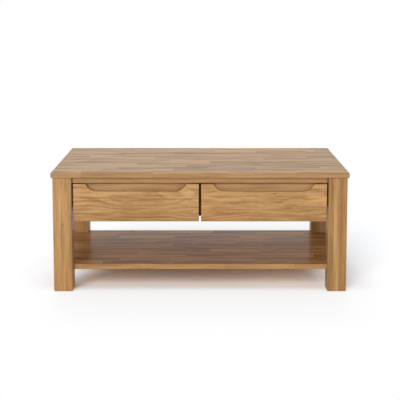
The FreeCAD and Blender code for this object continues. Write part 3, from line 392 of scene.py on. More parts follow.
def solid_wood():
    """The node group of solid wood: rings, fibres, pores and flecks, from a board's own directions."""
    existing = bpy.data.node_groups.get("solid_wood")
    if existing:
        return existing
    number = "NodeSocketFloat"
    colour = "NodeSocketColor"
    directions = ("Along", "Across", "Through")
    qualities = ("Board", "Tone", "Figure", "Ribbon", "Ring Width", "Mark", "Base Roughness", "End Grain")
    inputs = [(title, number) for title in (*directions, *qualities)]
    inputs += [("Light", colour), ("Dark", colour)]
    outputs = [("Color", colour), ("Roughness", number), ("Height", number)]
    tree, start, end = new_group("solid_wood", "ShaderNodeTree", inputs, outputs)
    parts = {title: Wire(start.outputs[title]) for title, kind in inputs}

    # The place in the trunk that the board is cut from
    chance = add_node(tree, "ShaderNodeTexWhiteNoise", {"W": parts["Board"]}, noise_dimensions="1D")
    draws = split(tree, chance.outputs["Color"])
    place = combine(tree, *(parts[title] + draw * extent
                            for title, draw, extent in zip(directions, draws, TRUNK)))

    # Growth rings about a pith below the board's middle, wandering along the grain
    sideways = parts["Across"] + (draws[0] - 0.5) * PITH_SPREAD
    below = parts["Through"] + draws[1] * PITH_DEPTH + PITH_NEAREST
    radius = (sideways * sideways + below * below).calc("SQRT")
    for along, across, detail, reach in RING_WANDER:
        radius = radius + (stretched_noise(tree, place, (along, across, across), detail) - 0.5) * reach
    ring = (radius / parts["Ring Width"]).calc("FRACT")
    parts["early"] = ring.step(0.0, EARLY_END, 1.0, 0.0) + ring.step(EARLY_START, 1.0)

    # Fibres in three widths, pores, pale flecks, and broad ribbons and blushes
    for name, (along, across, detail, swirl, low, high) in FIGURE.items():
        parts[name] = stretched_noise(tree, place, (along, across, across), detail, swirl).step(low, high)
    parts["pores"] = parts["pore"] * (parts["early"] * (1.0 - LATE_PORES) + LATE_PORES)
    parts["rings"] = parts["early"] * parts["Figure"]
    parts["flecks"] = parts["fleck"] * parts["Figure"]
    parts["board"] = draws[2]

    shade = weighted(parts, DARKENING) + (parts["ribbon"] - 0.5) * parts["Ribbon"] - PALENESS
    grain = blend(tree, lowest(highest(shade, 0.0), 1.0), parts["Light"], parts["Dark"])
    warm = blend(tree, highest(weighted(parts, WARMING), 0.0), grain, WARM_CAST, "MULTIPLY")
    end_level = 1.0 - parts["End Grain"] * END_SHADE
    level = (parts["Tone"] + 1.0) * (1.0 - parts["Mark"] * MARK_DEPTH) * end_level
    toned = add_node(tree, "ShaderNodeVectorMath", {"Vector": warm, "Scale": level}, operation="SCALE")

    feed(end.inputs["Color"], toned.outputs["Vector"])
    feed(end.inputs["Roughness"], parts["Base Roughness"] + weighted(parts, ROUGHENING))
    feed(end.inputs["Height"], weighted(parts, RAISING))
    return tree


def board_directions(tree, node, grain):
    """Wires along, across and through a board from its middle, and its half sizes in that order."""
    low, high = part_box(node)
    middle = (low + high) / 2
    inputs = {"Vector": coordinates(tree, "Object"), "Location": -middle}
    axes = split(tree, add_node(tree, "ShaderNodeMapping", inputs).outputs["Vector"])
    order = ["xyz".index(axis) for axis in grain]
    return [axes[index] for index in order], [(high - low)[index] / 2 for index in order]


def facing(tree, axis):
    """1 on faces square to an axis, and 0 on faces along it."""
    normal = split(tree, coordinates(tree, "Normal"))
    return abs(normal["xyz".index(axis)]).step(*SQUARE_TO_AXIS)


def lottery(tree, number):
    """A random share from -1 to 1 for each number."""
    draw = add_node(tree, "ShaderNodeTexWhiteNoise", {"W": number}, noise_dimensions="1D")
    return Wire(draw.outputs["Value"]) * 2.0 - 1.0


def staves(tree, along, across, width, length):
    """Rows of staggered staves: number and row, the place across a stave and the distance to a joint."""
    row = (across / width).calc("FLOOR")
    from_middle = across - (row + 0.5) * width
    run = along / length + lottery(tree, row) * ROW_SHIFT
    cell = {"W": run, "Scale": 1.0, "Randomness": STAVE_SCATTER}
    stave = add_node(tree, "ShaderNodeTexVoronoi", cell, voronoi_dimensions="1D")
    ends = add_node(tree, "ShaderNodeTexVoronoi", cell, voronoi_dimensions="1D", feature="DISTANCE_TO_EDGE")
    number = Wire(stave.outputs["W"]).calc("FLOOR") * STAVE_STEP + row * ROW_STEP
    to_side = width / 2 - abs(from_middle)
    to_end = Wire(ends.outputs["Distance"]) * length
    return number, row, from_middle, lowest(to_side, to_end)


def strips(tree, across, half, seams, tones):
    """Glued strips side by side: a strip's tone and the distance to a seam."""
    middle_grey = 0.5
    width = 2 * half
    share = across / width + 0.5
    ramp = add_node(tree, "ShaderNodeValToRGB", {"Fac": share})
    ramp.color_ramp.interpolation = "CONSTANT"
    stops = ramp.color_ramp.elements
    while len(stops) > 1:
        stops.remove(stops[-1])
    for position, tone in zip((0.0, *seams), tones):
        stop = stops[0] if position == 0 else stops.new(position)
        level = middle_grey + tone
        stop.position = position
        stop.color = (level, level, level, 1.0)
    gaps = [abs((share - seam) * width) for seam in seams]
    return Wire(ramp.outputs["Color"]) - middle_grey, lowest(*gaps)


def marks_on(along, across, marks):
    """The darkness of a board's knots, streaks and patches, and of painted shade, below zero on a pale
    patch.
    """
    spots = []
    for spot_along, spot_across, length, width, darkness in marks:
        far = (along - spot_along) / length
        wide = (across - spot_across) / width
        spots.append((far * far + wide * wide).calc("SQRT").step(MARK_CORE, 1.0, darkness, 0.0))
    return sum(spots)


def edge_share(wires, halves):
    """How near a place on a board's surface is to an edge, from 0 to 1."""
    first, second, third = (half - abs(wire) for wire, half in zip(wires, halves))
    to_edge = highest(lowest(first, second), lowest(highest(first, second), third))
    return to_edge.step(*WORN_SHADED_EDGE)


def new_material(name):
    """An empty node material and its shader."""
    material = bpy.data.materials.new(name)
    material.use_nodes = True
    return material, material.node_tree, material.node_tree.nodes["Principled BSDF"]


def add_bump(tree, shader, height, strength, depth):
    """Raises the surface by a height wire."""
    inputs = {"Height": height, "Strength": strength, "Distance": depth}
    feed(shader.inputs["Normal"], add_node(tree, "ShaderNodeBump", inputs).outputs["Normal"])


def wood_material(node, grain, finish, layout=None, figure=1.0, tone=0.0, seed=0.0, rings=1.0, gloss=1.0,
                  ribbon=0.34, contrast=1.0, grain_length=1.0, tint=None, dark_end=False, routed=False):
    """Solid wood for one board: staves, strips or one plank, with grain, joints, marks, and worn edges
    darkened with painted shade; where asked, painted shade on its upper face, round a grip's rim or on one
    end.
    """
    material, tree, shader = new_material(f"{node}_wood")
    wires, halves = board_directions(tree, node, grain)
    along, across, through = wires
    joint = None
    number = seed
    local = across
    level = tone
    if layout == "staves":
        number, row, local, joint = staves(tree, along, across, finish.stave_width, finish.stave_length)
        number = number + seed
        tones = lottery(tree, number + SECOND_DRAW) + lottery(tree, row + SECOND_DRAW) * ROW_TONE
        calm = 1.0 - facing(tree, grain[1]) * EDGE_CALM
        level = tones * calm * (contrast * finish.stave_contrast) + tone
        ribbon = calm * ribbon
    elif layout:
        level, joint = strips(tree, across, halves[1], *layout)
        number = level * STRIP_STEP + seed
        level = level + tone

    inputs = {
        "Along": along / grain_length, "Across": local, "Through": through,
        "Board": number, "Tone": level, "Figure": figure, "Ribbon": ribbon,
        "Ring Width": finish.ring_width * rings, "Base Roughness": finish.roughness,
        "Light": opaque(finish.light), "Dark": opaque(finish.dark), "End Grain": facing(tree, grain[0]),
    }
    if node in MARKS:
        inputs["Mark"] = marks_on(along, across, MARKS[node])
    wood = add_node(tree, "ShaderNodeGroup", node_tree=solid_wood())
    for key, given in inputs.items():
        feed(wood.inputs[key], given)

    colour = wood.outputs["Color"]
    # Painted shade: only the upper face is multiplied by a darker, warmer colour than the rest of the board
    if tint is not None:
        upper = facing(tree, grain[2]) * through.calc("GREATER_THAN", 0.0)
        colour = blend(tree, upper, colour, opaque(tint), "MULTIPLY")
    if joint is not None:
        colour = blend(tree, joint.step(*GLUE_LINE), colour, opaque(finish.glue_and_rim_shade))
    # Painted shade along the board's edges, where the worn surface is also rougher
    worn_shaded_edge = edge_share(wires, halves)
    colour = blend(tree, worn_shaded_edge * PAINTED_EDGE_SHADE, colour, opaque(finish.dark))
    # Painted shade: the grip's lip top and curved ends take the glue line's colour, standing in for the
    # shadow in the routed grip
    if routed:
        inside = lowest(halves[0] - abs(along), halves[1] - abs(across)).step(*GRIP_RIM_FADE)
        rim = (1.0 - facing(tree, grain[2])) * inside
        colour = blend(tree, rim, colour, opaque(finish.glue_and_rim_shade))
    # Painted shade: the board's end at the low side of its grain is darkened almost to black, standing in
    # for the shade in the gap between the drawers
    if dark_end:
        gap_shade_share = (along + halves[0]).step(*GAP_SHADE_FADE)
        colour = blend(tree, gap_shade_share, colour, opaque(finish.gap_shade))

    feed(shader.inputs["Base Color"], colour)
    feed(shader.inputs["Roughness"], Wire(wood.outputs["Roughness"]) + worn_shaded_edge * RUBBED_ROUGHNESS)
    shader.inputs["Specular IOR Level"].default_value = WOOD_SPECULAR
    shader.inputs["Coat Weight"].default_value = finish.lacquer * gloss
    shader.inputs["Coat Roughness"].default_value = LACQUER_ROUGHNESS
    add_bump(tree, shader, wood.outputs["Height"], GRAIN_BUMP, GRAIN_DEPTH)
    return material


def metal_material(name, colour, roughness, marks):
    """Plated metal with fine marks and a cloudy sheen."""
    noise_range = (0.3, 0.7)
    clouds = (60.0, 60.0, 60.0)
    cloud_detail = 3.0
    cloud_share = 0.35
    cloud_shade = 0.7
    smoother = 0.06
    rougher = 0.08
    material, tree, shader = new_material(name)
    spot = coordinates(tree, "Object")
    fine = stretched_noise(tree, spot, marks)
    cloudy = stretched_noise(tree, spot, clouds, cloud_detail).step(*noise_range, 0.0, cloud_share)
    dull = [part * cloud_shade for part in colour]
    feed(shader.inputs["Base Color"], blend(tree, cloudy, opaque(colour), opaque(dull)))
    shader.inputs["Metallic"].default_value = 1.0
    feed(shader.inputs["Roughness"], fine.step(*noise_range, roughness - smoother, roughness + rougher))
    add_bump(tree, shader, fine, strength=0.12, depth=0.0001)
    return material


def matt_material(name, colour, cells, roughness, depth):
    """Rubber or felt: a mottled matt surface with small bumps."""
    mottle_range = (0.35, 0.7)
    noise_range = (0.2, 0.8)
    speckle_detail = 4.0
    paler = 1.8
    dust = 0.01
    spread = 0.08
    material, tree, shader = new_material(name)
    speckle = stretched_noise(tree, coordinates(tree, "Object"), (cells, cells, cells), speckle_detail)
    pale = [min(1.0, part * paler + dust) for part in colour]
    mottle = speckle.step(*mottle_range)
    feed(shader.inputs["Base Color"], blend(tree, mottle, opaque(colour), opaque(pale)))
    feed(shader.inputs["Roughness"], speckle.step(*noise_range, roughness - spread, roughness + spread))
    add_bump(tree, shader, speckle, strength=0.6, depth=depth)
    return material


def dress(node, material):
    """Gives a piece its finish."""
    slots = frame["nodes"][node].data.materials
    if slots:
        slots[0] = material
    else:
        slots.append(material)


def finish_board(node, grain, finish, **look):
    """Gives a board its own wood."""
    dress(node, wood_material(node, grain, finish, **look))


class OakFinish(bpy.types.PropertyGroup):
    """Colours and sizes of the lacquered oak."""

    light: FloatVectorProperty(
        name="Late Wood", description="Pale wood between the growth rings",
        default=(0.575, 0.342, 0.146), **COLOUR)
    # Also the colour of the painted shade along the edges
    dark: FloatVectorProperty(
        name="Early Wood", description="Dark porous wood of the growth rings",
        default=(0.318, 0.158, 0.054), **COLOUR)
    # Also the colour of the painted shade on the rims of the drawer grips
    glue_and_rim_shade: FloatVectorProperty(
        name="Glue Line", description="Thin line between two glued staves",
        default=(0.170, 0.072, 0.022), **COLOUR)
    # Painted shade: a near black colour on the divider's front edge, so that the gap between the drawers
    # reads as deep shade
    gap_shade: FloatVectorProperty(
        name="Edge Stain", description="Stain on the divider's front edge, in the gap between the drawers",
        default=(0.026, 0.007, 0.002), **COLOUR)
    # Painted shade: the top's upper face is made a little darker and warmer than its edges
    top_tint: FloatVectorProperty(
        name="Top Tint", description="Tint of the lacquer on the upper face of the top",
        default=(1.0, 0.96, 0.91), **COLOUR)
    # Painted shade: the shelf's upper face, under the drawers, is made darker and redder than its edges
    shelf_tint: FloatVectorProperty(
        name="Shelf Tint", description="Tint of the lacquer on the upper face of the shelf",
        default=(0.96, 0.81, 0.73), **COLOUR)
    roughness: FloatProperty(
        name="Roughness", description="Roughness of the wood under its lacquer", default=0.48, **SHARE)
    lacquer: FloatProperty(
        name="Lacquer", description="Strength of the satin lacquer's reflections", default=0.54, **SHARE)
    ring_width: FloatProperty(
        name="Ring Width", description="Width of one year's growth", unit="LENGTH",
        min=0.001, default=0.0042)
    stave_width: FloatProperty(
        name="Stave Width", description="Width of the staves of the top and the shelf", unit="LENGTH",
        min=0.01, default=0.0465)
    stave_length: FloatProperty(
        name="Stave Length", description="Mean length of the staves", unit="LENGTH",
        min=0.05, default=0.27)
    stave_contrast: FloatProperty(
        name="Stave Contrast", description="Difference in tone from stave to stave", default=0.15, **SHARE)


class BoxWoodFinish(bpy.types.PropertyGroup):
    """Colours of the pale wood of the drawer boxes, the slide battens and the dowels."""

    light: FloatVectorProperty(
        name="Late Wood", description="Pale wood of the drawer boxes",
        default=(0.680, 0.490, 0.290), **COLOUR)
    # Also the colour of the painted shade along the edges
    dark: FloatVectorProperty(
        name="Early Wood", description="Darker grain of the drawer boxes",
        default=(0.500, 0.315, 0.160), **COLOUR)
    roughness: FloatProperty(
        name="Roughness", description="Roughness of the sanded wood", default=0.56, **SHARE)
    lacquer: FloatProperty(
        name="Lacquer", description="Strength of the thin sealer's reflections", default=0.08, **SHARE)
    ring_width: FloatProperty(
        name="Ring Width", description="Width of one year's growth", unit="LENGTH",
        min=0.001, default=0.0032)


class MetalFinish(bpy.types.PropertyGroup):
    """Colours of the metal, rubber and felt fittings, and the sizes of their small details."""

    zinc: FloatVectorProperty(
        name="Zinc", description="Zinc plating of cages and brackets",
        default=(0.60, 0.61, 0.62), **COLOUR)
    dark_zinc: FloatVectorProperty(
        name="Dark Zinc", description="Dark passivated zinc of the slide rails",
        default=(0.085, 0.085, 0.088), **COLOUR)
    bright_steel: FloatVectorProperty(
        name="Bright Steel", description="Polished steel of the balls",
        default=(0.72, 0.72, 0.73), **COLOUR)
    screw_steel: FloatVectorProperty(
        name="Screw Steel", description="Plating of the screws",
        default=(0.50, 0.50, 0.50), **COLOUR)
    rubber: FloatVectorProperty(
        name="Rubber", description="Rubber of the end stops",
        default=(0.025, 0.025, 0.026), **COLOUR)
    felt: FloatVectorProperty(
        name="Felt", description="Felt of the glides",
        default=(0.115, 0.085, 0.062), **COLOUR)
    thread_pitch: FloatProperty(
        name="Thread Pitch", description="Rise of a screw's thread in one turn", unit="LENGTH",
        min=0.0005, default=0.0018)
    recess_share: FloatProperty(
        name="Recess Share", description="Width of the cross recess as a share of the head",
        subtype="FACTOR", min=0.1, max=0.9, default=0.55)
    dowel_flutes: IntProperty(
        name="Dowel Flutes", description="Grooves round a dowel", min=6, max=48, default=24)


class StageSettings(bpy.types.PropertyGroup):
    """Floor, lamps and camera."""

    floor: FloatVectorProperty(
        name="Floor", description="Colour of the floor", default=(0.93, 0.93, 0.925), **COLOUR)
    shown_floor: FloatVectorProperty(
        name="Shown Floor", description="Floor's colour as the camera sees it near the table",
        default=(1.40, 1.445, 1.49), **BRIGHT_COLOUR)
    # Painted light: the warmer colour under the table stands in for light bounced from the wood onto the
    # shaded floor
    shaded_floor: FloatVectorProperty(
        name="Shaded Floor", description="Floor's colour as the camera sees it under the table",
        default=(1.69, 1.58, 1.49), **BRIGHT_COLOUR)
    floor_fade: FloatProperty(
        name="Floor Fade", description="Distance from the table at which the floor is plain white",
        unit="LENGTH", min=0.01, default=0.80)
    front_light: FloatProperty(
        name="Front Light", description="How far the shadow is lightened in front of the table",
        default=0.66, **SHARE)
    side_light: FloatProperty(
        name="Side Light", description="How far the shadow is lightened under the shelf's ends",
        default=0.60, **SHARE)
    sky_strength: FloatProperty(
        name="Sky Strength", description="Strength of the even light from all round", min=0.0, default=0.38)
    horizon: FloatVectorProperty(
        name="Horizon", description="Colour of the room's low wall in reflections",
        default=(1.0, 0.965, 0.895), **COLOUR)
    horizon_height: FloatProperty(
        name="Horizon Height", description="Angle up to which the wall in reflections is bright",
        subtype="ANGLE", default=math.radians(12.7))
    horizon_fade: FloatProperty(
        name="Horizon Fade", description="Angle over which the wall in reflections fades",
        subtype="ANGLE", default=math.radians(1.4))
    lamp_strength: FloatProperty(
        name="Lamp Strength", description="Strength of the soft main lamp", min=0.0, default=1.75)
    lamp_softness: FloatProperty(
        name="Lamp Softness", description="Angle that the main lamp fills",
        subtype="ANGLE", min=0.0, default=math.radians(34))
    lamp_height: FloatProperty(
        name="Lamp Height", description="Angle of the main lamp above the floor",
        subtype="ANGLE", default=math.radians(24))
    lamp_side: FloatProperty(
        name="Lamp Side", description="Angle of the main lamp to the left of the camera",
        subtype="ANGLE", default=math.radians(15))
    back_strength: FloatProperty(
        name="Back Lamp Strength", description="Strength of the soft lamp behind the table",
        min=0.0, default=0.70)
    back_softness: FloatProperty(
        name="Back Lamp Softness", description="Angle that the lamp behind the table fills",
        subtype="ANGLE", min=0.0, default=math.radians(30))
    back_height: FloatProperty(
        name="Back Lamp Height", description="Angle of the lamp behind the table above the floor",
        subtype="ANGLE", default=math.radians(42))
    back_side: FloatProperty(
        name="Back Lamp Side", description="Angle of the lamp behind the table to the right of its middle",
        subtype="ANGLE", default=math.radians(-4))
    side_strength: FloatProperty(
        name="Side Lamp Strength", description="Strength of the low soft lamp at the right",
        min=0.0, default=0.26)
    side_softness: FloatProperty(
        name="Side Lamp Softness", description="Angle that the lamp at the right fills",
        subtype="ANGLE", min=0.0, default=math.radians(16))
    side_height: FloatProperty(
        name="Side Lamp Height", description="Angle of the lamp at the right above the floor",
        subtype="ANGLE", default=math.radians(7))
    camera_distance: FloatProperty(
        name="Camera Distance", description="Camera in front of the table's middle",
        unit="LENGTH", default=4.0216)
    camera_height: FloatProperty(
        name="Camera Height", description="Camera above the floor", unit="LENGTH", default=1.0687)
    camera_pitch: FloatProperty(
        name="Camera Pitch", description="Camera's tilt below the horizon",
        subtype="ANGLE", default=math.radians(6.759))
    camera_lens: FloatProperty(
        name="Lens", description="Focal length of the camera", subtype="DISTANCE_CAMERA", default=91.84)
    camera_sensor: FloatProperty(
        name="Sensor", description="Width of the camera's sensor", subtype="DISTANCE_CAMERA", default=36.0)
    camera_shift: FloatProperty(
        name="Shift", description="Camera's upright shift, as a share of the picture", default=-0.19)


class COFFEETABLE_OT_finish_top(bpy.types.Operator):
    """Finish the top as oak staves along its length"""

    bl_idname = "coffee_table.finish_top"
    bl_label = "Finish Top"

    def execute(self, context):
        oak = context.scene.oak_finish
        finish_board("table_top", FLAT_ALONG_X, oak, layout="staves", figure=0.8, tone=0.02, seed=3.0,
                     gloss=0.84, ribbon=1.2, contrast=0.95, tint=oak.top_tint)
        return {"FINISHED"}


class COFFEETABLE_OT_finish_shelf(bpy.types.Operator):
    """Finish the lower shelf as oak staves along its length"""

    bl_idname = "coffee_table.finish_shelf"
    bl_label = "Finish Shelf"

    def execute(self, context):
        oak = context.scene.oak_finish
        finish_board("lower_shelf", FLAT_ALONG_X, oak, layout="staves", tone=-0.11, seed=43.0,
                     ribbon=1.3, contrast=1.1, tint=oak.shelf_tint)
        return {"FINISHED"}


class COFFEETABLE_OT_finish_legs(bpy.types.Operator):
    """Finish the legs as upright glued strips of oak"""

    bl_idname = "coffee_table.finish_legs"
    bl_label = "Finish Legs"

    def execute(self, context):
        oak = context.scene.oak_finish
        for index, (leg, layout) in enumerate(LEG_STRIPS.items()):
            finish_board(leg, POST, oak, layout=layout, figure=0.7, seed=11.0 + index, gloss=0.4)
        return {"FINISHED"}


class COFFEETABLE_OT_finish_frame(bpy.types.Operator):
    """Finish the aprons, the rail above the drawers, the divider and the slide battens"""

    bl_idname = "coffee_table.finish_frame"
    bl_label = "Finish Frame"

    def execute(self, context):
        oak = context.scene.oak_finish
        box_wood = context.scene.box_wood_finish
        finish_board("back_apron", UPRIGHT_ALONG_X, oak, layout=TWO_BOARDS, seed=21.0)
        finish_board("front_rail", FLAT_ALONG_X, oak, figure=0.7, tone=-0.04, seed=22.0)
        # The divider's front edge gets painted shade, for the dark gap between the drawers
        finish_board("centre_divider", UPRIGHT_ALONG_Y, oak, layout=TWO_BOARDS, seed=23.0,
                     gloss=0.1, dark_end=True)
        for index, side in enumerate(SIDES):
            finish_board(f"{side}_apron", UPRIGHT_ALONG_Y, oak, layout=TWO_BOARDS, seed=24.0 + index)
            finish_board(f"{side}_slide_batten", UPRIGHT_ALONG_Y, box_wood, figure=0.5, tone=-0.05,
                         seed=26.0 + index)
        return {"FINISHED"}


class COFFEETABLE_OT_finish_fronts(bpy.types.Operator):
    """Finish the drawer fronts and the inner fronts behind their grips"""

    bl_idname = "coffee_table.finish_fronts"
    bl_label = "Finish Drawer Fronts"

    def execute(self, context):
        oak = context.scene.oak_finish
        for index, side in enumerate(SIDES):
            front = f"{side}_drawer_front"
            # The fronts get painted shade on the rims of their grips
            finish_board(front, UPRIGHT_ALONG_X, oak, layout=FRONT_STRIPS[front], figure=1.1,
                         seed=31.0 + index, rings=2.4, gloss=0.4, grain_length=0.45, routed=True)
            finish_board(f"{side}_drawer_inner_front", UPRIGHT_ALONG_X, oak, figure=0.7, tone=-0.02,
                         seed=33.0 + index)
        return {"FINISHED"}


class COFFEETABLE_OT_finish_boxes(bpy.types.Operator):
    """Finish the drawers' sides, backs and floors"""

    bl_idname = "coffee_table.finish_boxes"
    bl_label = "Finish Drawer Boxes"

    def execute(self, context):
        box_wood = context.scene.box_wood_finish
        for index, side in enumerate(SIDES):
            for place, (grain, seed) in BOX_BOARDS.items():
                finish_board(f"{side}_drawer_{place}", grain, box_wood, figure=0.8,
                             seed=seed + index * BOX_SEED_STEP)
        return {"FINISHED"}


class COFFEETABLE_OT_finish_slides(bpy.types.Operator):
    """Finish the drawer slides, their balls and end stops, and the brackets under the top"""

    bl_idname = "coffee_table.finish_slides"
    bl_label = "Finish Slides and Brackets"

    def execute(self, context):
        metal = context.scene.metal_finish
        zinc = metal_material("zinc_steel", metal.zinc, roughness=0.33, marks=ROLLED_MARKS)
        dark_zinc = metal_material("dark_zinc_steel", metal.dark_zinc, roughness=0.36, marks=ROLLED_MARKS)
        cage = metal_material("cage_steel", metal.zinc, roughness=0.42, marks=ROLLED_MARKS)
        bright = metal_material("ball_steel", metal.bright_steel, roughness=0.14, marks=TUMBLED_MARKS)
        rubber = matt_material("stop_rubber", metal.rubber, cells=900.0, roughness=0.62, depth=0.0002)
        for side in SIDES:
            for post in ("leg", "middle"):
                dress(f"{side}_{post}_fixed_rail", dark_zinc)
                dress(f"{side}_{post}_drawer_rail", dark_zinc)
                dress(f"{side}_{post}_ball_cage", cage)
            dress(f"{side}_slide_balls", bright)
        dress("slide_end_stops", rubber)
        dress("top_brackets", zinc)
        return {"FINISHED"}


def solids_of(node):
    """The points of each separate solid of a node."""
    weld = 1e-6
    mesh = bmesh.new()
    mesh.from_mesh(frame["nodes"][node].data)
    bmesh.ops.remove_doubles(mesh, verts=mesh.verts, dist=weld)
    waiting = set(mesh.verts)
    solids = []
    while waiting:
        front = [waiting.pop()]
        points = []
        while front:
            vertex = front.pop()
            points.append(vertex.co.copy())
            near = {edge.other_vert(vertex) for edge in vertex.link_edges} & waiting
            waiting -= near
            front.extend(near)
        solids.append(points)
    mesh.free()
    return solids


def long_axis(points):
    """The middle of a solid's box, its half sizes and the index of its longest side."""
    low = Vector(min(point[axis] for point in points) for axis in range(3))
    high = Vector(max(point[axis] for point in points) for axis in range(3))
    half = (high - low) / 2
    return (low + high) / 2, half, max(range(3), key=lambda axis: half[axis])


def screw_seat(points):
    """The top of a screw's head, the way that the head faces, the screw's half sizes and its axis."""
    middle, half, axis = long_axis(points)
    others = [other for other in range(3) if other != axis]
    widest = max(points, key=lambda point: sum((point[other] - middle[other]) ** 2 for other in others))
    way = Vector()
    way[axis] = 1.0 if widest[axis] > middle[axis] else -1.0
    return middle + way * half[axis], way, half, axis


def grow(name, tree, places, ways, settings):
    """A piece that a geometry tree grows on points, turned into one plain mesh."""
    points = bpy.data.meshes.new(name)
    points.from_pydata(places, [], [])
    headings = points.attributes.new("way", "FLOAT_VECTOR", "POINT")
    for item, way in zip(headings.data, ways):
        item.vector = way
    piece = bpy.data.objects.new(name, points)
    bpy.context.scene.collection.objects.link(piece)
    modifier = piece.modifiers.new("grow", "NODES")
    modifier.node_group = tree
    for socket in tree.interface.items_tree:
        if socket.in_out == "INPUT" and socket.name in settings:
            modifier[socket.identifier] = settings[socket.name]
    depsgraph = bpy.context.evaluated_depsgraph_get()
    grown = bpy.data.meshes.new_from_object(piece.evaluated_get(depsgraph), depsgraph=depsgraph)
    piece.modifiers.remove(modifier)
    piece.data = grown
    if not grown.polygons:
        raise RuntimeError(f"{name} grew no faces")
    return piece


def stand_for(piece, node):
    """Lets a grown piece take the place of a solid node on its body."""
    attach(piece, frame["nodes"][node]["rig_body"])
    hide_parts(node)


def set_on_points(tree, start, end, shape, seed, turn):
    """Sets a shape on every point, facing its way, with a random turn about its own axis."""
    way = add_node(tree, "GeometryNodeInputNamedAttribute", {"Name": "way"}, data_type="FLOAT_VECTOR")
    inputs = {"Vector": way.outputs["Attribute"]}
    aligned = add_node(tree, "FunctionNodeAlignRotationToVector", inputs, axis="Z")
    limits = {"Max": turn, "Seed": seed}
    chance = add_node(tree, "FunctionNodeRandomValue", data_type="FLOAT")
    for socket in chance.inputs:
        if socket.name in limits and socket.enabled:
            socket.default_value = limits[socket.name]
    amount = next(socket for socket in chance.outputs if socket.enabled)
    spin = add_node(tree, "FunctionNodeAxisAngleToRotation", {"Angle": amount})
    inputs = {0: aligned.outputs["Rotation"], 1: spin.outputs[0]}
    turned = add_node(tree, "FunctionNodeRotateRotation", inputs, rotation_space="LOCAL")
    inputs = {"Points": start.outputs["Points"], "Instance": shape, "Rotation": turned.outputs["Rotation"]}
    instances = add_node(tree, "GeometryNodeInstanceOnPoints", inputs)
    real = add_node(tree, "GeometryNodeRealizeInstances", {"Geometry": instances.outputs["Instances"]})
    inputs = {"Geometry": real.outputs["Geometry"], "Material": start.outputs["Material"]}
    painted = add_node(tree, "GeometryNodeSetMaterial", inputs)
    feed(end.inputs["Geometry"], painted.outputs["Geometry"])


def raised(tree, geometry, height, scale=None):
    """A geometry raised by a height, and scaled if a scale is given."""
    inputs = {"Geometry": geometry, "Translation": combine(tree, 0.0, 0.0, height)}
    node = add_node(tree, "GeometryNodeTransform", inputs)
    if scale is not None:
        feed(node.inputs["Scale"], scale)
    return node.outputs["Geometry"]


def block(tree, *sizes):
    """A block with its middle at the origin."""
    return add_node(tree, "GeometryNodeMeshCube", {"Size": combine(tree, *sizes)}).outputs["Mesh"]


def joined(tree, *parts):
    """Several geometries as one."""
    node = tree.nodes.new("GeometryNodeJoinGeometry")
    for part in parts:
        tree.links.new(part, node.inputs["Geometry"])
    return node.outputs["Geometry"]


def shape_tree(name, sizes, counts=()):
    """An empty geometry tree for a shape set on points, and the wires of its sizes and counts."""
    shape = "NodeSocketGeometry"
    inputs = [("Points", shape), ("Material", "NodeSocketMaterial")]
    inputs += [(title, "NodeSocketFloat") for title in sizes]
    inputs += [(title, "NodeSocketInt") for title in counts]
    tree, start, end = new_group(name, "GeometryNodeTree", inputs, [("Geometry", shape)])
    return tree, start, end, [Wire(start.outputs[title]) for title in (*sizes, *counts)]


def screw_tree():
    """A cross-head screw with its head's top at the point, a domed head and a threaded shank."""
    sizes = ("Head Diameter", "Head Height", "Shank Diameter", "Length", "Thread Pitch", "Recess Share")
    tree, start, end, wires = shape_tree("cross_head_screw", sizes)
    head, rise, shank, length, pitch, share = wires

    # The upper half of a ball, with a cross recess cut into it
    arm_share = 0.24
    recess_lift = 0.05
    spare_width = 1.2
    ball = add_node(tree, "GeometryNodeMeshUVSphere", {"Segments": 28, "Rings": 16, "Radius": 1.0})
    radius = head * 0.5
    dome = raised(tree, ball.outputs["Mesh"], -rise, combine(tree, radius, radius, rise))
    under = block(tree, head * spare_width, head * spare_width, rise * 2.0)
    cutters = [raised(tree, under, rise * -2.0)]
    width = head * share
    arm = width * arm_share
    for arms in ((width, arm, rise), (arm, width, rise)):
        cutters.append(raised(tree, block(tree, *arms), rise * recess_lift))
    cut = add_node(tree, "GeometryNodeMeshBoolean", operation="DIFFERENCE", solver="EXACT")
    feed(cut.inputs["Mesh 1"], dome)
    for cutter in cutters:
        tree.links.new(cutter, cut.inputs["Mesh 2"])

    # A tapered core with a thread round it: radii as shares of the shank's diameter, the tip's in metres
    core_radius = 0.36
    tip_radius = 0.0002
    thread_start = 0.16
    thread_end = 0.40
    ridge_radius = 0.10
    threaded = 0.8
    thread_reach = 0.98
    run = length - rise
    inputs = {"Vertices": 12, "Radius Top": shank * core_radius, "Radius Bottom": tip_radius, "Depth": run}
    core = raised(tree, add_node(tree, "GeometryNodeMeshCone", inputs).outputs["Mesh"], -length)
    climb = run * threaded
    inputs = {"Resolution": 9, "Rotations": climb / pitch, "Start Radius": shank * thread_start,
              "End Radius": shank * thread_end, "Height": climb}
    thread = add_node(tree, "GeometryNodeCurveSpiral", inputs)
    inputs = {"Resolution": 3, "Radius": shank * ridge_radius}
    ridge = add_node(tree, "GeometryNodeCurvePrimitiveCircle", inputs)
    inputs = {"Curve": thread.outputs["Curve"], "Profile Curve": ridge.outputs["Curve"]}
    swept = add_node(tree, "GeometryNodeCurveToMesh", inputs)
    swept = raised(tree, swept.outputs["Mesh"], length * -thread_reach)
    screw = joined(tree, cut.outputs["Mesh"], core, swept)
    set_on_points(tree, start, end, screw, seed=5, turn=math.pi)
    return tree


